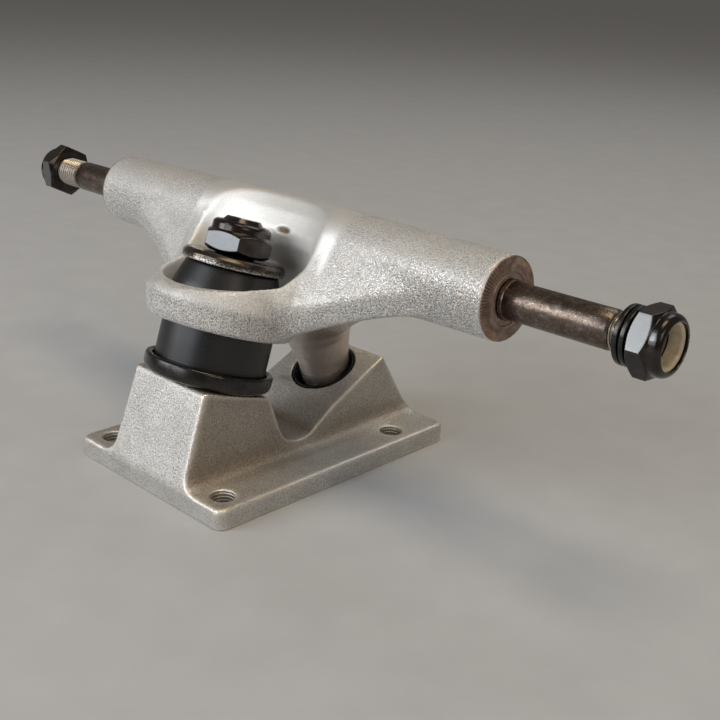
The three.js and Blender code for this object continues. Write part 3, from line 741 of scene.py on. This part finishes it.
# %% Two skins of the hanger
BOWL_LOW, BOWL_ACROSS, BOWL_BACK = 19, 24, 17
STEM_TOP, STEM_ACROSS, STEM_FRONT = 40, 18, 7
store_wear(hanger_casting, HANGER_VOXEL, edge_radius=1.2, hollow_radius=6, width=4)
local, facing = seen_from(hanger_casting, KINGPIN)
reach, from_pin = np.abs(local[:, 0]), np.hypot(local[:, 0], local[:, 1])
inwards = -(local[:, 0] * facing[:, 0] + local[:, 1] * facing[:, 1]) / np.maximum(from_pin, 1)
in_bowl = (inwards > 0.1) & (local[:, 2] > BOWL_LOW) & (reach < BOWL_ACROSS)
in_bowl &= local[:, 1] < BOWL_BACK
upwards = normals_of(hanger_casting)[:, 2]
on_stem = falling(local[:, 2], STEM_TOP, 8) * falling(reach, STEM_ACROSS, 6)
on_stem *= rising(local[:, 1], STEM_FRONT, 5) * (1 - in_bowl)
# the stem share also says where the finish paints brown shade under the ring
store(hanger_casting, "stem", on_stem)
grain = (1 - 0.6 * rising(upwards, 0.05, 0.4)) * (1 - in_bowl) * (1 - 0.75 * on_stem)
store(hanger_casting, "grain", spread(grain, pairs, 4))
store(hanger_casting, "bowl", spread(in_bowl.astype(float), pairs, 8))
print("points in the bowl:", int(in_bowl.sum()))

# %% [markdown]
# One flaw of the casting shows in the bowl, just right of the nut: a flat brown pit. The
# points round its place are pressed in, and their nearness is stored for the finish.

# %% Pit in the bowl
PIT_PLACE, PIT_REACH, PIT_DEPTH = (3.3, 4.8, 56.1), (3.0, 3.0, 0.95), 0.35
points = read_points(hanger_casting)
nearness = 1 - np.linalg.norm((points - PIT_PLACE) / PIT_REACH, axis=1)
nearness = eased(nearness * 2)
points -= normals_of(hanger_casting) * (nearness * PIT_DEPTH)[:, None]
write_points(hanger_casting, points)
store(hanger_casting, "pit", nearness)
print("points in the pit:", int((nearness > 0).sum()))

# %% [markdown]
# ## Turned ends of the hanger
# The ends of the bar are cut off square by a coarse tool, which leaves fine spokes round a ring
# groove. The remelted end is pushed in a little, and a turned disc with these marks closes it.
# Every other spin step lies on a crest, and the one between makes the furrow, which the finish
# darkens as painted shade.

# %% Push in the ends
PUSHED_IN = 0.5
points = read_points(hanger_casting)
points[:, 0] = np.clip(points[:, 0], -HALF_WIDTH + PUSHED_IN, HALF_WIDTH - PUSHED_IN)
write_points(hanger_casting, points)
settle(hanger_casting, PLAIN)

# %% End discs
END_RADIUS, DISC_THICKNESS, DISC_BORE = 8.87, 0.9, 4.3
SPOKES, STEPS_PER_SPOKE, SPOKE_DEPTH = 76, 2, 0.3
SPOKE_START, SPOKE_RISE = 5.9, 0.9


def end_disc(name):
    top = DISC_THICKNESS
    groove = [(5.2, top), (5.35, top - 0.3), (5.55, top - 0.3), (5.7, top)]
    spoke_ring = [(radius, top) for radius in (6.1, 6.8, 7.5, 8.2, 8.5)]
    rim = [(8.72, top - 0.05), (END_RADIUS, top - 0.25), (END_RADIUS, 0)]
    bore = [(DISC_BORE, 0), (DISC_BORE, top)]
    section = [*bore, *groove, *spoke_ring, *rim, bore[0]]
    disc = turned(name, section, steps=SPOKES * STEPS_PER_SPOKE)
    marks = read_points(disc)
    radius = np.hypot(marks[:, 0], marks[:, 1])
    angle = np.arctan2(marks[:, 1], marks[:, 0])
    spoke = np.abs(2 * ((angle / tau * SPOKES) % 1) - 1)
    uneven = 0.7 + 0.3 * np.sin(angle * 7 + radius) * np.sin(angle * 3 + 1)
    cut = (radius > SPOKE_START) & (marks[:, 2] > top - 0.1)
    furrow = cut * spoke * uneven * np.clip((radius - SPOKE_START) / SPOKE_RISE, 0, 1)
    marks[:, 2] -= furrow * SPOKE_DEPTH
    write_points(disc, marks)
    smooth(disc, angle=60)
    store(disc, "furrow", furrow)
    store(disc, "end_face", np.clip((marks[:, 2] - top + 0.5) * 4, 0, 1))
    return disc


discs = []
for side in ("right", "left"):
    disc = end_disc(f"end_disc_{side}")
    settle(disc, AXLE[side] @ shift(0, 0, HALF_WIDTH - DISC_THICKNESS))
    discs.append(disc)
join(hanger_casting, *discs)


def triangles_of(piece):
    return len(piece.data.loops) - 2 * len(piece.data.polygons)


print("hanger triangles:", triangles_of(hanger_casting))

# %% [markdown]
# ## Rubber and washers
# The bushings are cast urethane with rolled edges. Both are turned sections. The real ones bend
# when the hanger steers, and their walls have several rings of points, though nothing here bends
# them.

# %% Bushings
BORE = 5.06
BOTTOM_SEAT, BOTTOM_HEIGHT = 2, 13.7
TOP_SEAT, TOP_HEIGHT = 19.3, 8.1


def on_kingpin(height):
    """The frame of the kingpin, that far above the block."""
    return KINGPIN @ shift(0, 0, height)


def wall(start, end, count):
    """Points from start up to end, without the end."""
    return [tuple(point) for point in np.linspace(start, end, count, endpoint=False)]


bottom_section = [
    (BORE, 0),
    *wall((12.95, 0), (13, 6.8), 5),
    *wall((13, 6.8), (12.95, BOTTOM_HEIGHT), 5),
    (12.95, BOTTOM_HEIGHT),
    *wall((BORE, BOTTOM_HEIGHT), (BORE, 0), 8),
    (BORE, 0),
]
bottom_bushing = rolled(turned("bottom_barrel_bushing", bottom_section), 0.7)
settle(bottom_bushing, on_kingpin(BOTTOM_SEAT))

top_section = [
    (BORE, 0),
    (13.1, 0),
    *wall((12.8, 2.2), (10.5, TOP_HEIGHT), 4),
    (10.5, TOP_HEIGHT),
    *wall((BORE, TOP_HEIGHT), (BORE, 0), 5),
    (BORE, 0),
]
top_bushing = rolled(turned("top_cone_bushing", top_section), 0.8)
settle(top_bushing, on_kingpin(TOP_SEAT))

# %% [markdown]
# Each bushing sits in a washer of pressed sheet: the lower one is a cup whose rim is curled
# up round the bushing, and the upper one is a small dished cap. They are turned too, with
# wider rolled edges, as a press leaves them.

# %% Washers
CUP_WASHER_SEAT, CAP_WASHER_SEAT, CAP_RIM_WEAR_AND_HIGHLIGHT = 0.3, 27.7, 0.34
cup_floor = [(BORE, 0), (13.9, 0), (15, 1.1)]
cup_rim = [(15, 4.1), (13.4, 4.1), (13.4, 1.5), (BORE, 1.4), (BORE, 0)]
bottom_washer = rolled(turned("bottom_cup_washer", cup_floor + cup_rim), 0.72, segments=6)
settle(bottom_washer, on_kingpin(CUP_WASHER_SEAT))

cap_rim = [(10.9, 0), (10.9, -0.5), (11.75, -0.5), (11.9, -0.3), (11.9, 1.1), (11.2, 1.9)]
cap_section = [(BORE, 0), *cap_rim, (BORE, 2), (BORE, 0)]
top_washer = rolled(turned("top_cap_washer", cap_section), 0.3)
# the lower rim of the cap is painted silver: partly wear, partly a painted highlight
points = read_points(top_washer)
at_rim = (np.hypot(points[:, 0], points[:, 1]) > 11.3) & (points[:, 2] < 0.2)
store(top_washer, "edge", CAP_RIM_WEAR_AND_HIGHLIGHT * at_rim)
settle(top_washer, on_kingpin(CAP_WASHER_SEAT))

# %% [markdown]
# ## Pivot cup
# The cup is a thick rubber thimble. Its inside follows the ball of the pivot nose, and its
# mouth opens a little so that the nose can lean.

# %% Pivot cup
BALL_DEPTH, CUP_RADIUS, SOCKET_RADIUS, QUARTER_STEPS = 3, 8.2, 6.6, 12


def quarter(radius):
    """A quarter of a circle from the pole of a ball to its widest."""
    angles = [pi / 2 * i / QUARTER_STEPS for i in range(QUARTER_STEPS + 1)]
    return [(radius * sin(a), -BALL_DEPTH - radius * cos(a)) for a in angles]


cup_lip = [(CUP_RADIUS, -0.35), (7.85, 0), (7.7, -0.1)]
cup_section = [*quarter(CUP_RADIUS), *cup_lip, *quarter(SOCKET_RADIUS)[::-1]]
pivot_cup = turned("pivot_cup_rubber", cup_section)
smooth(pivot_cup, angle=50)
settle(pivot_cup, CUP)

# %% [markdown]
# ## Axle
# The axle is one rod through the whole hanger. Where it leaves the bar it has a low collar
# behind a narrow groove, and beyond a chamfered shoulder it carries a fine thread.

# %% Axle rod
AXLE_RADIUS, CREST, THREAD_DEPTH, AXLE_END = 4.0, 3.93, 0.5, 98.3
SHOULDER = {"right": 89.9, "left": 86.2}


def axle_side(shoulder):
    """From inside the bar to the tip of the axle."""
    groove = [(AXLE_RADIUS, 64.0), (3.8, 64.9), (3.8, 65.3)]
    collar = [(4.3, 65.4), (4.35, 65.55), (4.35, 66.2), (4.3, 66.35), (3.95, 66.4), (3.95, 66.6)]
    rod = [(AXLE_RADIUS, 66.65 + (shoulder - 67.3) * i / 6) for i in range(7)]
    chamfer = [(3.6, shoulder), (3.35, shoulder + 0.02), (3.35, shoulder + 0.3)]
    thread = [(CREST, height) for height in thread_rings(shoulder + 0.5, AXLE_END - 0.6)]
    return [*groove, *collar, *rod, *chamfer, *thread, (3.3, AXLE_END), (0, AXLE_END)]


left_side = [(radius, -height) for radius, height in axle_side(SHOULDER["left"])]
axle_rod = turned("axle_rod", [*left_side[::-1], *axle_side(SHOULDER["right"])], steps=72)
cut_thread(axle_rod, SHOULDER["right"] + 0.4, AXLE_END - 0.5, CREST, THREAD_DEPTH)
cut_thread(axle_rod, -AXLE_END + 0.5, -SHOULDER["left"] - 0.4, CREST, THREAD_DEPTH)
smooth(axle_rod, angle=50)
heights = read_points(axle_rod)[:, 2]
on_thread = (heights > SHOULDER["right"] + 0.1) | (heights < -SHOULDER["left"] - 0.1)
store(axle_rod, "thread", on_thread.astype(float))
settle(axle_rod, AXLE["right"])

# %% [markdown]
# ## Kingpin
# The kingpin is a bolt with its hexagonal head in the underside of the base. Its head and
# the nuts are hexagons with their corners turned off, so one helper makes them all: it keeps
# what a six-sided block and a turned one share.


# %% Hexagon
FACE_SHARE, CORNER_SLOPE = 0.9, 0.6


def hexagon(name, flats, height, turned_by):
    """A hexagonal block whose corners are turned off at both ends."""
    corner = flats / 2 / cos(pi / 6)
    bpy.ops.object.select_all(action="DESELECT")
    bpy.ops.mesh.primitive_cylinder_add(
        vertices=6,
        radius=corner,
        depth=height,
        location=(0, 0, height / 2),
        rotation=(0, 0, radians(turned_by - 30)),
    )
    block = bpy.context.object
    block.name = block.data.name = name
    bpy.ops.object.transform_apply(location=True, rotation=True, scale=True)
    face = flats / 2 * FACE_SHARE
    drop = (corner - face) * CORNER_SLOPE
    corner += 0.01
    lower, upper = [(face, 0), (corner, drop)], [(corner, height - drop), (face, height)]
    ends = turned("turned_ends", [(0, 0), *lower, *upper, (0, height)])
    return combine(block, ends, "INTERSECT")


# %% [markdown]
# The shank is turned and threaded as the axle is. Only its tip and its last turns of thread
# are seen, in the middle of the nut.

# %% Kingpin bolt
SHANK_RADIUS, TIP_RADIUS = 4.76, 3.9
SHANK_FOOT, THREAD_FOOT, THREAD_TOP, TIP = -19, 26, 37.3, 38.3
HEAD_FLATS, HEAD_HEIGHT, HEAD_FOOT = 14.3, 5, -20.4
shank = [(0, SHANK_FOOT), (SHANK_RADIUS, SHANK_FOOT)]
shank += [(SHANK_RADIUS, height) for height in thread_rings(THREAD_FOOT, THREAD_TOP)]
shank += [(TIP_RADIUS, TIP), (0, TIP)]
kingpin_bolt = turned("kingpin_bolt", shank, steps=64)
cut_thread(kingpin_bolt, THREAD_FOOT - 0.5, THREAD_TOP + 0.1, SHANK_RADIUS, THREAD_DEPTH)
smooth(kingpin_bolt, angle=50)
head = rolled(hexagon("kingpin_head", HEAD_FLATS, HEAD_HEIGHT, 0), 0.15)
head.data.transform(shift(0, 0, HEAD_FOOT))
join(kingpin_bolt, head)
settle(kingpin_bolt, KINGPIN)

# %% [markdown]
# ## Lock nuts
# A lock nut is a hexagon with a round collar that is rolled in over a nylon ring. The solid
# is built from a turned hexagon, a turned collar and a turned bore, and then remelted at a
# very fine voxel, which gives its edges the small soft roundings of a forging, and points
# close enough to store its wear.

# %% A lock nut
NUT_VOXEL = 0.125


def lock_nut(name, flats, hex_height, turned_by, collar, bore, worn_and_reflecting_flat_back=120):
    """Hexagon, collar and bore. Collar and bore are sections of (radius, height). One flat, which
    lies so many degrees back, is painted pale: partly wear from a spanner, partly a painted
    reflection."""
    nut = hexagon(name, flats, hex_height, turned_by)
    combine(nut, turned("collar", collar), "UNION")
    combine(nut, turned("bore", bore), "DIFFERENCE")
    remelt(nut, NUT_VOXEL, 4)
    store_wear(nut, NUT_VOXEL, edge_radius=0.35, hollow_radius=0.8)
    # one flat is painted pale: partly spanner wear, partly a painted reflection
    angle = radians(turned_by - 30 - worn_and_reflecting_flat_back)
    worn_and_reflecting_flat = np.array((cos(angle), sin(angle), 0))
    towards = rising(normals_of(nut) @ worn_and_reflecting_flat, 0.9, 0.08)
    flat = read_points(nut) @ worn_and_reflecting_flat > flats / 2 - 0.3
    store(nut, "worn_and_reflecting_flat", spread(towards * flat, neighbours(nut), 3))
    return nut


# %% [markdown]
# The nut on the kingpin is the bigger one. The two on the axle are alike, and each stands at
# the angle at which the spanner left it.

# %% Nuts
NUT_FLATS, NUT_HEX, NUT_TURNS = 12.7, 4.7, {"right": 50, "left": 39}
KINGPIN_NUT_SEAT, NUT_SEAT = 30, 95.0
kingpin_nut = lock_nut(
    "kingpin_lock_nut",
    flats=14.8,
    hex_height=5.1,
    turned_by=-41,
    collar=[(0, 2), (6.8, 2), (6.8, 6.3), (6.6, 6.8), (6.1, 7.2), (5.8, 7.3), (0, 7.3)],
    bore=[(0, -1), (4.9, -1), (4.9, 5.4), (5.9, 5.5), (5.9, 6.8), (5.45, 7), (5.45, 9), (0, 9)],
    worn_and_reflecting_flat_back=0,
)
settle(kingpin_nut, on_kingpin(KINGPIN_NUT_SEAT))

collar_top = [(6.1, 5.5), (6.0, 6.0), (5.7, 6.5), (5.3, 6.8), (4.9, 6.9), (0, 6.9)]
NUT_COLLAR = [(0, 2.5), (6.1, 2.5), *collar_top]
ring_seat = [(3.98, 3.0), (5.15, 3.1), (5.15, 6.25), (4.75, 6.45)]
NUT_BORE = [(0, -1), (3.98, -1), *ring_seat, (4.75, 9), (0, 9)]
nuts = {}
for side, turned_by in NUT_TURNS.items():
    nut = lock_nut(f"axle_lock_nut_{side}", NUT_FLATS, NUT_HEX, turned_by, NUT_COLLAR, NUT_BORE)
    nuts[side] = settle(nut, AXLE[side] @ shift(0, 0, NUT_SEAT))

# %% [markdown]
# ## Nylon rings and speed washers
# The nylon ring in each nut is turned, with a mouth that slopes in to the thread. The speed
# washers are small and flat, with rolled edges.

# %% Rings
RING_UP, KINGPIN_RING_UP = 3.2, 5.55
WASHER_SEATS = {"inner": 92.2, "outer": 93.6}
inserts = {}
for side in ("right", "left"):
    mouth = [(5.1, 2.85), (4.7, 3.05), (4.35, 2.95), (4.1, 2.6)]
    ring = turned(f"axle_nylon_{side}", [(4.05, 0), (5.1, 0), *mouth, (4.05, 0)])
    rolled(ring, 0.12)
    inserts[side] = settle(ring, AXLE[side] @ shift(0, 0, NUT_SEAT + RING_UP))
kingpin_ring = [(BORE, 0), (5.85, 0), (5.85, 1.3), (BORE, 1.2), (BORE, 0)]
kingpin_insert = rolled(turned("kingpin_nylon", kingpin_ring), 0.1)
settle(kingpin_insert, on_kingpin(KINGPIN_NUT_SEAT + KINGPIN_RING_UP))

washers = {}
for which, seat in WASHER_SEATS.items():
    washer = turned(f"washer_{which}", [(4, 0), (5.9, 0), (5.9, 1.1), (4, 1.1), (4, 0)])
    rolled(washer, 0.25)
    washers[which] = settle(washer, AXLE["right"] @ shift(0, 0, seat))

# %% [markdown]
# ## Cast aluminium
# As-cast aluminium is a bright metal under a matt skin. Three sizes of noise make it: wide blots of
# lighter and darker grey, a grain of under a millimetre that also roughens the surface, and sparse
# pits. Where the mesh says edge the skin is painted bright, as wear and as a painted highlight, and
# where it says hollow it is painted a darker brown.


# %% Grain of the mould
def speckle(where):
    """Grain of the mould, from 0 in a pit to 1: scattered pits under a fine noise."""
    pits = steps(specks(where, 0.46), (0.2, 0.0), (0.6, 1.0))
    fine = cloud(where, 0.27, detail=2, roughness=0.6)
    fine = steps(fine, (0.42, 0.0), (0.58, 1.0))
    return plus(pits, 0.35, times(fine, 0.65))


# %% [markdown]
# The base has the duller skin. The painted shade called film covers it where the mesh says so, fine
# dark bands of painted shade draw the thread on the walls of the holes, and the worn edges lie
# bright over all, partly as a painted highlight.

# %% Base casting finish
cast_grey = new_finish("cast_grey_skin", Metallic=0.92)
where = place_of(cast_grey)
blots = cloud(where, 8, detail=5, roughness=0.6, distortion=0.4)
grains = speckle(where)
skin = steps(
    blots,
    (0.35, (0.60, 0.585, 0.555)),
    (0.55, (0.67, 0.66, 0.635)),
    (0.7, (0.73, 0.72, 0.70)),
)
salt = steps(grains, (0.15, 0.6), (0.5, 0.9), (0.95, 1.14))
# hollows, where the surface bends inwards, are painted a darker brown
film = times(painted(cast_grey, "hollow"), 0.7)
skin = mixed(film, skin, (0.36, 0.285, 0.205))
# painted shade: the stored film share paints the sides, the valley and the ground under the washer
# brown
film = times(painted(cast_grey, "film"), 0.62)
skin = mixed(film, skin, (0.40, 0.325, 0.25))
skin = mixed(1.0, skin, salt, "MULTIPLY")
# painted shade: dark bands on the walls of the holes stand for the shade in the grooves of the
# thread
bands = {"Vector": where, "Scale": 0.4}
thread_turns_and_shade = node("ShaderNodeTexWave", bands, "Fac", bands_direction="Z")
hole_wall = times(painted(cast_grey, "hole"), 0.6)
thread_turns_and_shade = times(thread_turns_and_shade, hole_wall)
skin = mixed(thread_turns_and_shade, skin, (0.16, 0.14, 0.12))
# worn edges painted bright, partly as a painted highlight
edge_wear_and_highlight = times(painted(cast_grey, "edge"), 0.85)
skin = mixed(edge_wear_and_highlight, skin, (0.98, 0.92, 0.82))
rough = plus(grains, 0.22, 0.33)
rough = plus(edge_wear_and_highlight, -0.14, rough)
grooves = dents(thread_turns_and_shade, -0.25)
plug(
    cast_grey,
    Base_Color=skin,
    Roughness=rough,
    Normal=dents(grains, 0.06, 0.9, under=grooves),
)

# %% [markdown]
# ## Finish of the hanger
# The hanger is the same metal, tumbled until it is brighter. It could be split into parts with a
# finish each, but their borders would show. One finish for the whole casting is steered by the
# stored shares instead: the ring's wall is grainy, the bowl smooth and pale, the stem painted brown
# as shade under the ring, and the end faces show the bare cut.

# %% Hanger finish
cast_bright = new_finish("cast_bright_skin", Metallic=0.96)
where = place_of(cast_bright)
blots = cloud(where, 7, detail=5, roughness=0.6, distortion=0.5)
grains = speckle(where)
share = painted(cast_bright, "grain")
skin = steps(
    blots,
    (0.35, (0.74, 0.735, 0.72)),
    (0.6, (0.79, 0.785, 0.775)),
    (0.75, (0.83, 0.83, 0.82)),
)
salt = steps(grains, (0.15, 0.28), (0.5, 0.86), (0.85, 1.32))
salted = mixed(1.0, skin, salt, "MULTIPLY")
skin = mixed(times(share, 0.85), skin, salted)
warm = steps(cloud(where, 1.7, detail=2), (0.55, 0.0), (0.75, 0.45))
skin = mixed(times(warm, share), skin, (0.72, 0.56, 0.44))
# hollows, where the surface bends inwards, are painted a darker brown
film = times(painted(cast_bright, "hollow"), 0.45)
skin = mixed(film, skin, (0.36, 0.30, 0.24))
stem = painted(cast_bright, "stem")
# painted shade: the stem under the ring is painted brown
skin = mixed(times(stem, 0.55), skin, (0.50, 0.37, 0.30))
# worn edges painted bright, partly as a painted highlight
edge_wear_and_highlight = times(painted(cast_bright, "edge"), 0.6)
skin = mixed(edge_wear_and_highlight, skin, (0.88, 0.875, 0.86))

# %% [markdown]
# Over this skin come the places with a look of their own: the brown cut ends, the pale bowl
# and the pit. The same shares then make each place duller or glossier.

# %% Ends, bowl and pit of the hanger
end_face = painted(cast_bright, "end_face")
sawn = steps(
    cloud(where, 2.2, detail=4, roughness=0.7),
    (0.35, (0.30, 0.21, 0.17)),
    (0.55, (0.48, 0.37, 0.31)),
    (0.75, (0.66, 0.56, 0.49)),
)
# painted shade: the furrows between the spokes are painted darker
sawn = mixed(painted(cast_bright, "furrow"), sawn, (0.17, 0.11, 0.085))
skin = mixed(end_face, skin, sawn)
in_bowl = painted(cast_bright, "bowl")
skin = mixed(times(in_bowl, 0.7), skin, (0.93, 0.93, 0.91))
skin = mixed(painted(cast_bright, "pit"), skin, (0.20, 0.155, 0.095))
rough = plus(share, 0.12, 0.34)
rough = plus(in_bowl, 0.12, rough)
rough = plus(end_face, 0.22, rough)
rough = plus(grains, 0.1, rough)
rough = plus(edge_wear_and_highlight, -0.08, rough)
rough = plus(stem, -0.21, rough)
height = times(grains, plus(share, 0.9, 0.12))
waves = dents(blots, 0.4, 0.1)
plug(
    cast_bright,
    Base_Color=skin,
    Roughness=rough,
    Normal=dents(height, 0.24, under=waves),
)

# %% [markdown]
# ## Blackened and worn steel
# The nuts and washers are steel, blackened in a hot bath. The film is thin and glossy, turns brown
# where it is thinnest, and comes off first on edges. One flat of each nut is painted pale, partly
# as wear from a spanner and partly as a painted reflection.


# %% Blackened steel
def blackened(name, dark, brown, bright, gloss, wear):
    finish = new_finish(name, Metallic=0.9, Coat_Weight=0.35, Coat_Roughness=0.16)
    where = place_of(finish)
    blots = cloud(where, 2.6, detail=5, roughness=0.65, distortion=0.6)
    fine = cloud(where, 0.35, detail=4, roughness=0.7)
    film = steps(blots, (0.38, dark), (0.62, brown))
    chipped = plus(fine, 1.3, painted(finish, "edge"))
    chipped = times(chipped, 0.5)
    chipped = steps(chipped, (wear / 2, 0.0), (wear / 2 + 0.1, 1.0))
    patchy = plus(blots, 0.5, 0.5)
    # painted reflection, with some spanner wear: the stored flat turns pale grey
    worn_and_reflecting_flat = times(painted(finish, "worn_and_reflecting_flat"), patchy)
    film = mixed(worn_and_reflecting_flat, film, (0.20, 0.207, 0.21))
    rough = plus(blots, 0.22, gloss)
    plug(
        finish,
        Base_Color=mixed(chipped, film, bright),
        Roughness=plus(worn_and_reflecting_flat, 0.16, rough),
        Normal=dents(fine, 0.03, 0.35),
    )
    return finish


black_oxide = blackened(
    "black_oxide_gloss", (0.02, 0.018, 0.018), (0.05, 0.038, 0.032), (0.3, 0.28, 0.26), 0.1, 1.35
)
black_washer = blackened(
    "black_oxide_washer", (0.025, 0.025, 0.026), (0.045, 0.04, 0.037), (0.36, 0.33, 0.3), 0.16, 0.93
)
brown_washer = blackened(
    "brown_oxide_washer", (0.04, 0.032, 0.026), (0.085, 0.066, 0.05), (0.66, 0.63, 0.59), 0.16, 0.86
)

# %% [markdown]
# The axle wears the same film, older and duller. Blots, dark spots, and scratches stretched
# along the rod lie over each other, and the thread, which nuts have scraped, is bare.

# %% Axle steel
axle_steel = new_finish("axle_steel", Metallic=0.95)
where = place_of(axle_steel)
along = place_of(axle_steel, stretch=(6, 1, 1))
blots = cloud(where, 1.9, detail=6, roughness=0.7, distortion=0.5)
mottle = cloud(where, 0.5, detail=4, roughness=0.75)
scratches = cloud(along, 0.22, detail=3, roughness=0.8)
film = steps(
    blots,
    (0.34, (0.09, 0.07, 0.058)),
    (0.52, (0.15, 0.117, 0.095)),
    (0.7, (0.27, 0.22, 0.18)),
)
dark_spots = steps(mottle, (0.5, 0.0), (0.72, 0.75))
film = mixed(dark_spots, film, (0.04, 0.032, 0.028))
scuffed = steps(scratches, (0.6, 0.0), (0.72, 0.8))
film = mixed(scuffed, film, (0.55, 0.5, 0.44))
silver = steps(mottle, (0.35, (0.38, 0.34, 0.29)), (0.65, (0.6, 0.55, 0.49)))
film = mixed(painted(axle_steel, "thread"), film, silver)
plug(
    axle_steel,
    Base_Color=film,
    Roughness=plus(mottle, 0.3, 0.14),
    Normal=dents(mottle, 0.06, 0.6),
)

# %% [markdown]
# ## Urethane, rubber and nylon
# Cast urethane is satin black with a few light scuffs and specks of dust. The rubber of the
# cup is duller. Nylon is pale ivory and lets a little light in, so it gets some subsurface.


# %% Soft materials
def satin_black(name, tone, rough, speck_tone, gloss=0.65):
    finish = new_finish(name, Specular_IOR_Level=gloss)
    where = place_of(finish)
    scuffs = cloud(where, 3.5, detail=5, roughness=0.65)
    fine = cloud(where, 0.4, detail=3, roughness=0.7)
    dust = steps(specks(where, 1.7), (0.035, 1.0), (0.075, 0.0))
    tint = mixed(scuffs, tuple(0.7 * c for c in tone), tuple(1.35 * c for c in tone))
    plug(
        finish,
        Base_Color=mixed(dust, tint, speck_tone),
        Roughness=plus(scuffs, 0.14, rough),
        Normal=dents(fine, 0.04, 0.3),
    )
    return finish


urethane = satin_black("black_urethane", (0.003, 0.0034, 0.005), 0.3, (0.12, 0.12, 0.125))
cup_rubber = satin_black("cup_rubber", (0.004, 0.004, 0.004), 0.4, (0.03, 0.03, 0.03), gloss=0.25)
dark_nylon = satin_black("dark_nylon", (0.02, 0.018, 0.016), 0.35, (0.04, 0.04, 0.04))

ivory = new_finish("ivory_nylon", Subsurface_Weight=0.25, Subsurface_Scale=0.001)
where = place_of(ivory)
tint = steps(
    cloud(where, 1.6, detail=4, roughness=0.6),
    (0.35, (0.60, 0.50, 0.36)),
    (0.65, (0.76, 0.68, 0.53)),
)
fine = cloud(where, 0.5)
plug(
    ivory,
    Base_Color=tint,
    Roughness=plus(fine, 0.2, 0.3),
    Normal=dents(fine, 0.03, 0.4),
)

# %% [markdown]
# ## Dressing the frame
# Each new piece gets its finish, rides on the body of the piece that it stands for, and takes the
# place of that piece, which is hidden; the table also lists the slot of the record that its finish
# belongs to. The bushings are squeezed between two bodies, but here they ride on neither: each
# keeps its place in the world, and nothing bends its wall.

# %% Finish, body, slot and replaced node
DRESSING = [
    (base_casting, cast_grey, "base", "cast_grey", "baseplate"),
    (pivot_cup, cup_rubber, "base", "cup_rubber", "pivot_cup"),
    (kingpin_bolt, black_oxide, "base", "black_oxide", "kingpin"),
    (bottom_washer, black_washer, "base", "black_oxide", "bottom_washer"),
    (bottom_bushing, urethane, "base", "black_urethane", "bottom_bushing"),
    (top_bushing, urethane, "base", "black_urethane", "top_bushing"),
    (top_washer, brown_washer, "base", "brown_oxide", "top_washer"),
    (hanger_casting, cast_bright, "hanger_body", "cast_bright", "hanger"),
    (axle_rod, axle_steel, "hanger_body", "axle_steel", "axle"),
    (kingpin_nut, black_oxide, "kingpin_nut_body", "black_oxide", "kingpin_nut"),
    (kingpin_insert, dark_nylon, "kingpin_nut_body", "dark_nylon", "kingpin_nut_insert"),
    (nuts["right"], black_oxide, "nut_right_body", "black_oxide", "axle_nut_right"),
    (nuts["left"], black_oxide, "nut_left_body", "black_oxide", "axle_nut_left"),
    (inserts["right"], ivory, "nut_right_body", "ivory_nylon", "axle_nut_insert_right"),
    (inserts["left"], ivory, "nut_left_body", "ivory_nylon", "axle_nut_insert_left"),
    (washers["inner"], black_washer, "washer_inner_body", "black_oxide", "speed_washer_inner"),
    (washers["outer"], black_washer, "washer_outer_body", "black_oxide", "speed_washer_outer"),
]
BENDS_BETWEEN = {"bottom_bushing": (4.4, 14.2), "top_bushing": (27.0, 20.8)}
for piece, finish, body, slot_name, replaced in DRESSING:
    piece.data.materials.clear()
    piece.data.materials.append(finish)
    if replaced in BENDS_BETWEEN:
        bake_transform(piece)
    else:
        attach(piece, body)
    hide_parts(replaced)
print("pieces dressed:", len(DRESSING))

# %% [markdown]
# The triangles of all the dressed pieces are counted.

# %% Sizes, and the end
print("triangles:", sum(triangles_of(piece) for piece, *_ in DRESSING))
